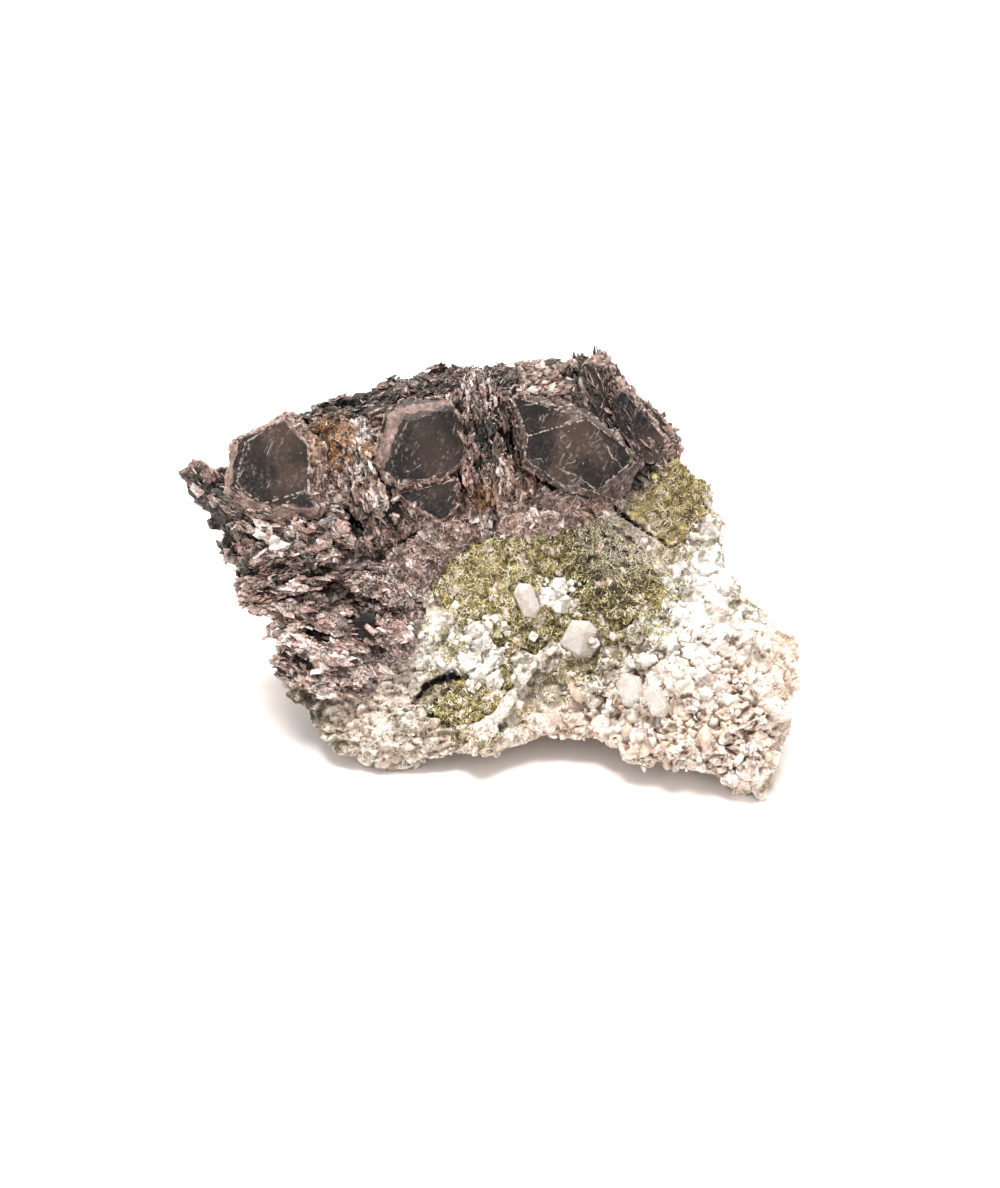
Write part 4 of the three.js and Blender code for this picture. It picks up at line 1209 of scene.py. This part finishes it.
def in_rims(here, rims):
    """1 on some of the mauve bevels and 0 away from them."""
    bent = warp(warp(here, 2.4, 0.7), 0.9, 0.25)
    return most(*[band(bent, start, end, width, 0.15) for start, end, width in rims])


def hairline(here, stretch, size, seed, width=0.012):
    """Long thin lines, as of scratches, drawn out by a stretch in each direction."""
    return wandering(wave_at(stretched(here, *stretch), size, 2, 0.6, offset=(seed, 0, 0)), 0.0, width)


def crystal_look(start, here):
    # Pale dust on the flat faces, with a painted sheen in it.
    dust_and_sheen = ease(noise_at(here, 0.7, 4, 0.7), 0.46, 0.7, 0.0, 0.42)
    dust_and_sheen = dust_and_sheen * ease(noise_at(here, 3.4, 3), 0.4, 0.6, 0.2, 1.0)
    dust_and_sheen = dust_and_sheen * (1 - most(0.55 * patch(here, -12, 26, 9, 0.3), 0.8 * patch(here, 7, 33, 5)))
    body = tints(noise_at(here, 9, 3, 0.4), (0.38, "#110e0c"), (0.5, "#211813"), (0.62, "#41322a"))
    body = layered(body, (0.35 * patch(here, -13, 25, 9, 0.3), "#0c0a09"), (dust_and_sheen, "#8b7c74"))
    value = 0.5 + 1.1 * wave_at(here, 0.8, 4, 0.7) + 0.9 * wave_at(here, 2.4, 3)
    mauve = in_rims(here, MAUVE_RIMS)
    # The slopes are painted paler on their high places, darker in their low ones and darker over the right
    # crystal: painted light and shade.
    border = layered(axinite_tints(value + 0.7 * kept(start, "relief")),
                     (0.75 * patch(here, 13, 26, 14, 0.2), "#332a26"), (mauve * 0.35, "#705a54"))
    ragged = kept(start, "slope") + 1.6 * wave_at(here, 1.6, 3)
    ragged = most(ease(ragged, 0.25, 0.6), mauve)
    steep, shallow = [turned(here, "Z_AXIS", radians(angle)) for angle in (24, -37)]
    scratch = 0.8 * hairline(shallow, (0.07, 1, 1), 2.2, 8, 0.008)
    scratch = most(hairline(steep, (1, 0.06, 1), 1.8, 3), scratch)
    scratch = scratch * ease(noise_at(here, 2.8, 3, offset=(0, 3, 0)), 0.5, 0.64)
    step_line = fade(growth_contours(here).math("FRACT"), 0.0, 0.03) * ease(noise_at(here, 1.7), 0.42, 0.55)
    specks = fade(cells_at(here, 0.9), 0.09, 0.14) * ease(noise_at(here, 3, offset=(5, 5, 0)), 0.52, 0.64)
    crumbs = kept(start, "edge") * ease(noise_at(here, 0.7, 2), 0.45, 0.6)
    bent = warp(warp(here, 3, 0.8), 0.8, 0.25)
    worn = most(*[band(bent, *ends, 0.13, 0.8) for ends in WORN_LINES])
    worn = worn * ease(noise_at(here, 2.6, 4, 0.65, offset=(0, 0, 3)), 0.48, 0.6)
    pale = most(step_line * 0.12, scratch * 0.6, specks * 0.9, crumbs * 0.8, worn * 0.6)
    roughness = most(0.3 + 0.25 * noise_at(here, 2.5, 3), ragged * 0.55, pale * 0.6,
                     0.85 * patch(here, 7, 33, 6, 0.2))
    relief = 0.05 * noise_at(here, 0.8, 2) + 0.03 * pale + 0.12 * ragged * noise_at(here, 0.5, 3)
    return layered(body, (ragged, border), (pale * 0.75, "#cdbfb6")), roughness, relief


def crystal_blades(start, normal, long, wide):
    """The turn and the size of blades that are grown on a large crystal."""
    return turn_in_sheaf(start, normal, 73), combined(long, long * wide, chance(start, 0.10, 0.25, 76))


def blades_on_slopes(start, here, normal):
    where = most(fade(facing_out(start), 0.76, 0.84), in_rims(here, MAUVE_RIMS[:3]))
    where = where * (1 - 0.8 * patch(here, 16, 24, 9, 0.3))
    where = where * ease(noise_at(here, 2.2, 2, offset=(0, 11, 0)), 0.5, 0.57)
    shade = 0.58 + 1.3 * wave_at(here, 2.6, 3) + chance(start, -0.25, 0.25, 77)
    turn, size = crystal_blades(start, normal, chance(start, 0.6, 2.2, 74), 0.5)
    return where, turn, size, shade, chance(start, -0.1, 0.15, 78)


def blades_on_plates(start, here, normal):
    where = ease(noise_at(here, 2.6, 2, offset=(0, 11, 0)), 0.47, 0.56, 0.02, 0.8)
    shade = 0.04 + 1.6 * wave_at(here, 2.2, 3) + chance(start, -0.2, 0.25, 77)
    turn, size = crystal_blades(start, normal, chance(start, 0.8, 3.8, 74), 0.35)
    return where, turn, size, shade + 0.35 * patch(here, 31, 27, 5), chance(start, -0.15, 0.15, 78)


axinite_glass = mineral("axinite_glass", crystal_look, {"IOR": 1.6, "Specular IOR Level": 0.22})
for number, node in enumerate(CRYSTALS):
    crystal = fine_facets(node, f"clove_{node}", EDGE_WEAR, LONGEST_FACET)
    grow(crystal, grow_steps)
    smooth(crystal)
    dress(crystal, axinite_glass, "axinite", node)
    ground = copy_of(node, "ground")
    skin(ground, GROUND_SKIN)
    layout = blades_on_slopes if number < LARGE_CRYSTALS else blades_on_plates
    dress(strew(f"blades_of_{node}", ground, plate_shapes, layout, 70 + number, spacing=0.4, density=3),
          axinite_blades, "axinite_mass")
    bpy.data.objects.remove(ground)


# ---- The quartz ----
# Clear to milky crystals, a few millimetres long, grown on the crust and the lobe.

QUARTZ_WEAR = 0.12
QUARTZ_FACET = 0.7


def cloudy(start, here):
    veil = noise_at(here, 1.4, 3)
    colour = tints(veil, (0.4, "#f8ece2"), (0.6, "#fffaf4"))
    return colour, ease(veil, 0.4, 0.65, 0.05, 0.3), 0.25 * noise_at(here, 0.9, 3)


clear_quartz = mineral("clear_quartz", cloudy, {"IOR": 1.544, "Transmission Weight": 0.45})
for place in ("upper", "middle", "lower_left", "lower_right"):
    node = f"quartz_crystal_{place}"
    prism = fine_facets(node, f"clear_{node}", QUARTZ_WEAR, QUARTZ_FACET)
    smooth(prism, False)
    dress(prism, clear_quartz, "quartz", node)


# ---- The adularia ----
# Snow-white blocky crystals, half a millimetre to three across, in three clusters and strewn between.

SNOWY_WEAR = 0.15
SNOWY_FACET = 0.8


def snow(start, here):
    colour = tints(noise_at(here, 1.0, 3), (0.35, "#cfc6bb"), (0.5, "#e9e4dc"), (0.62, "#f8f6f3"))
    # Blocks are painted darker close to the ground they stand on, as shade.
    colour = blend(ease(kept(start, "rise"), 0.02, 0.35, 0.6, 0.0), colour, "#8d8268")
    return colour, 0.5, 0.1 * noise_at(here, 0.5, 3)


def block(bm, number):
    bmesh.ops.create_cube(bm, size=0.8)
    for vert in bm.verts:
        vert.co += noise.noise_vector(vert.co * 3 + Vector((number * 4.7, 2, 5))) * 0.24
    wear_edges(bm, 0.07)


def blocks(start, where, low, high):
    """A layout of blocks of all sizes and turns, lifted by low to high mm."""
    size = scaled(chance(start, (0.8, 0.7, 0.6), (1.3, 1.1, 1.0), 92), mostly_small(start, 0.5, 1.5, 91))
    return where, any_turn(start, 93), size, luck(start, 94), chance(start, low, high, 95)


def blocks_on_crust(start, here, normal):
    where = most(patches(here, (-3, -8, 6), (-6, -14, 4), (10, 0, 4), (-11.5, -8, 3.5)),
                 0.5 * patch(here, 2, -10, 6))
    where = where * ease(noise_at(here, 2.0, 2, offset=(0, 0, 9)), 0.46, 0.54) * clear_of_gaps(here)
    return blocks(start, where * (1 - on_vein(here)), -0.1, 0.4)


def blocks_on_cluster(start, here, normal):
    return blocks(start, ease(noise_at(here, 3), 0.3, 0.31), -0.4, 0.0)


def swell_cluster(start, cluster):
    height = noise_at(here_on(start), 1.2, 2) * 0.9 - 0.55
    # rise is 1 all over, so the clusters get none of the painted shade.
    return keep(swell(cluster, height), "rise", 1.0)


adularia = mineral("snowy_adularia", snow, {"Specular IOR Level": 0.4})
block_shapes = cluster_of("block_shape", 4, block)
for number, node in enumerate(("adularia_cluster_upper", "adularia_cluster_left", "adularia_cluster_lower")):
    cluster = fine_facets(node, f"snowy_{node}", SNOWY_WEAR, SNOWY_FACET)
    grow(cluster, swell_cluster)
    dress(cluster, adularia, "adularia", node)
    dress(strew(f"blocks_of_{node}", cluster, block_shapes, blocks_on_cluster, 80 + number,
                spacing=0.75, density=2.5), adularia, "adularia")
for number, ground in enumerate((*crust_beds[:2], rock)):
    dress(strew(f"snowy_blocks_{number}", ground, block_shapes, blocks_on_crust, 90 + number,
                spacing=0.7, density=1.6), adularia, "adularia")


bpy.data.objects.remove(sheaf_guide)
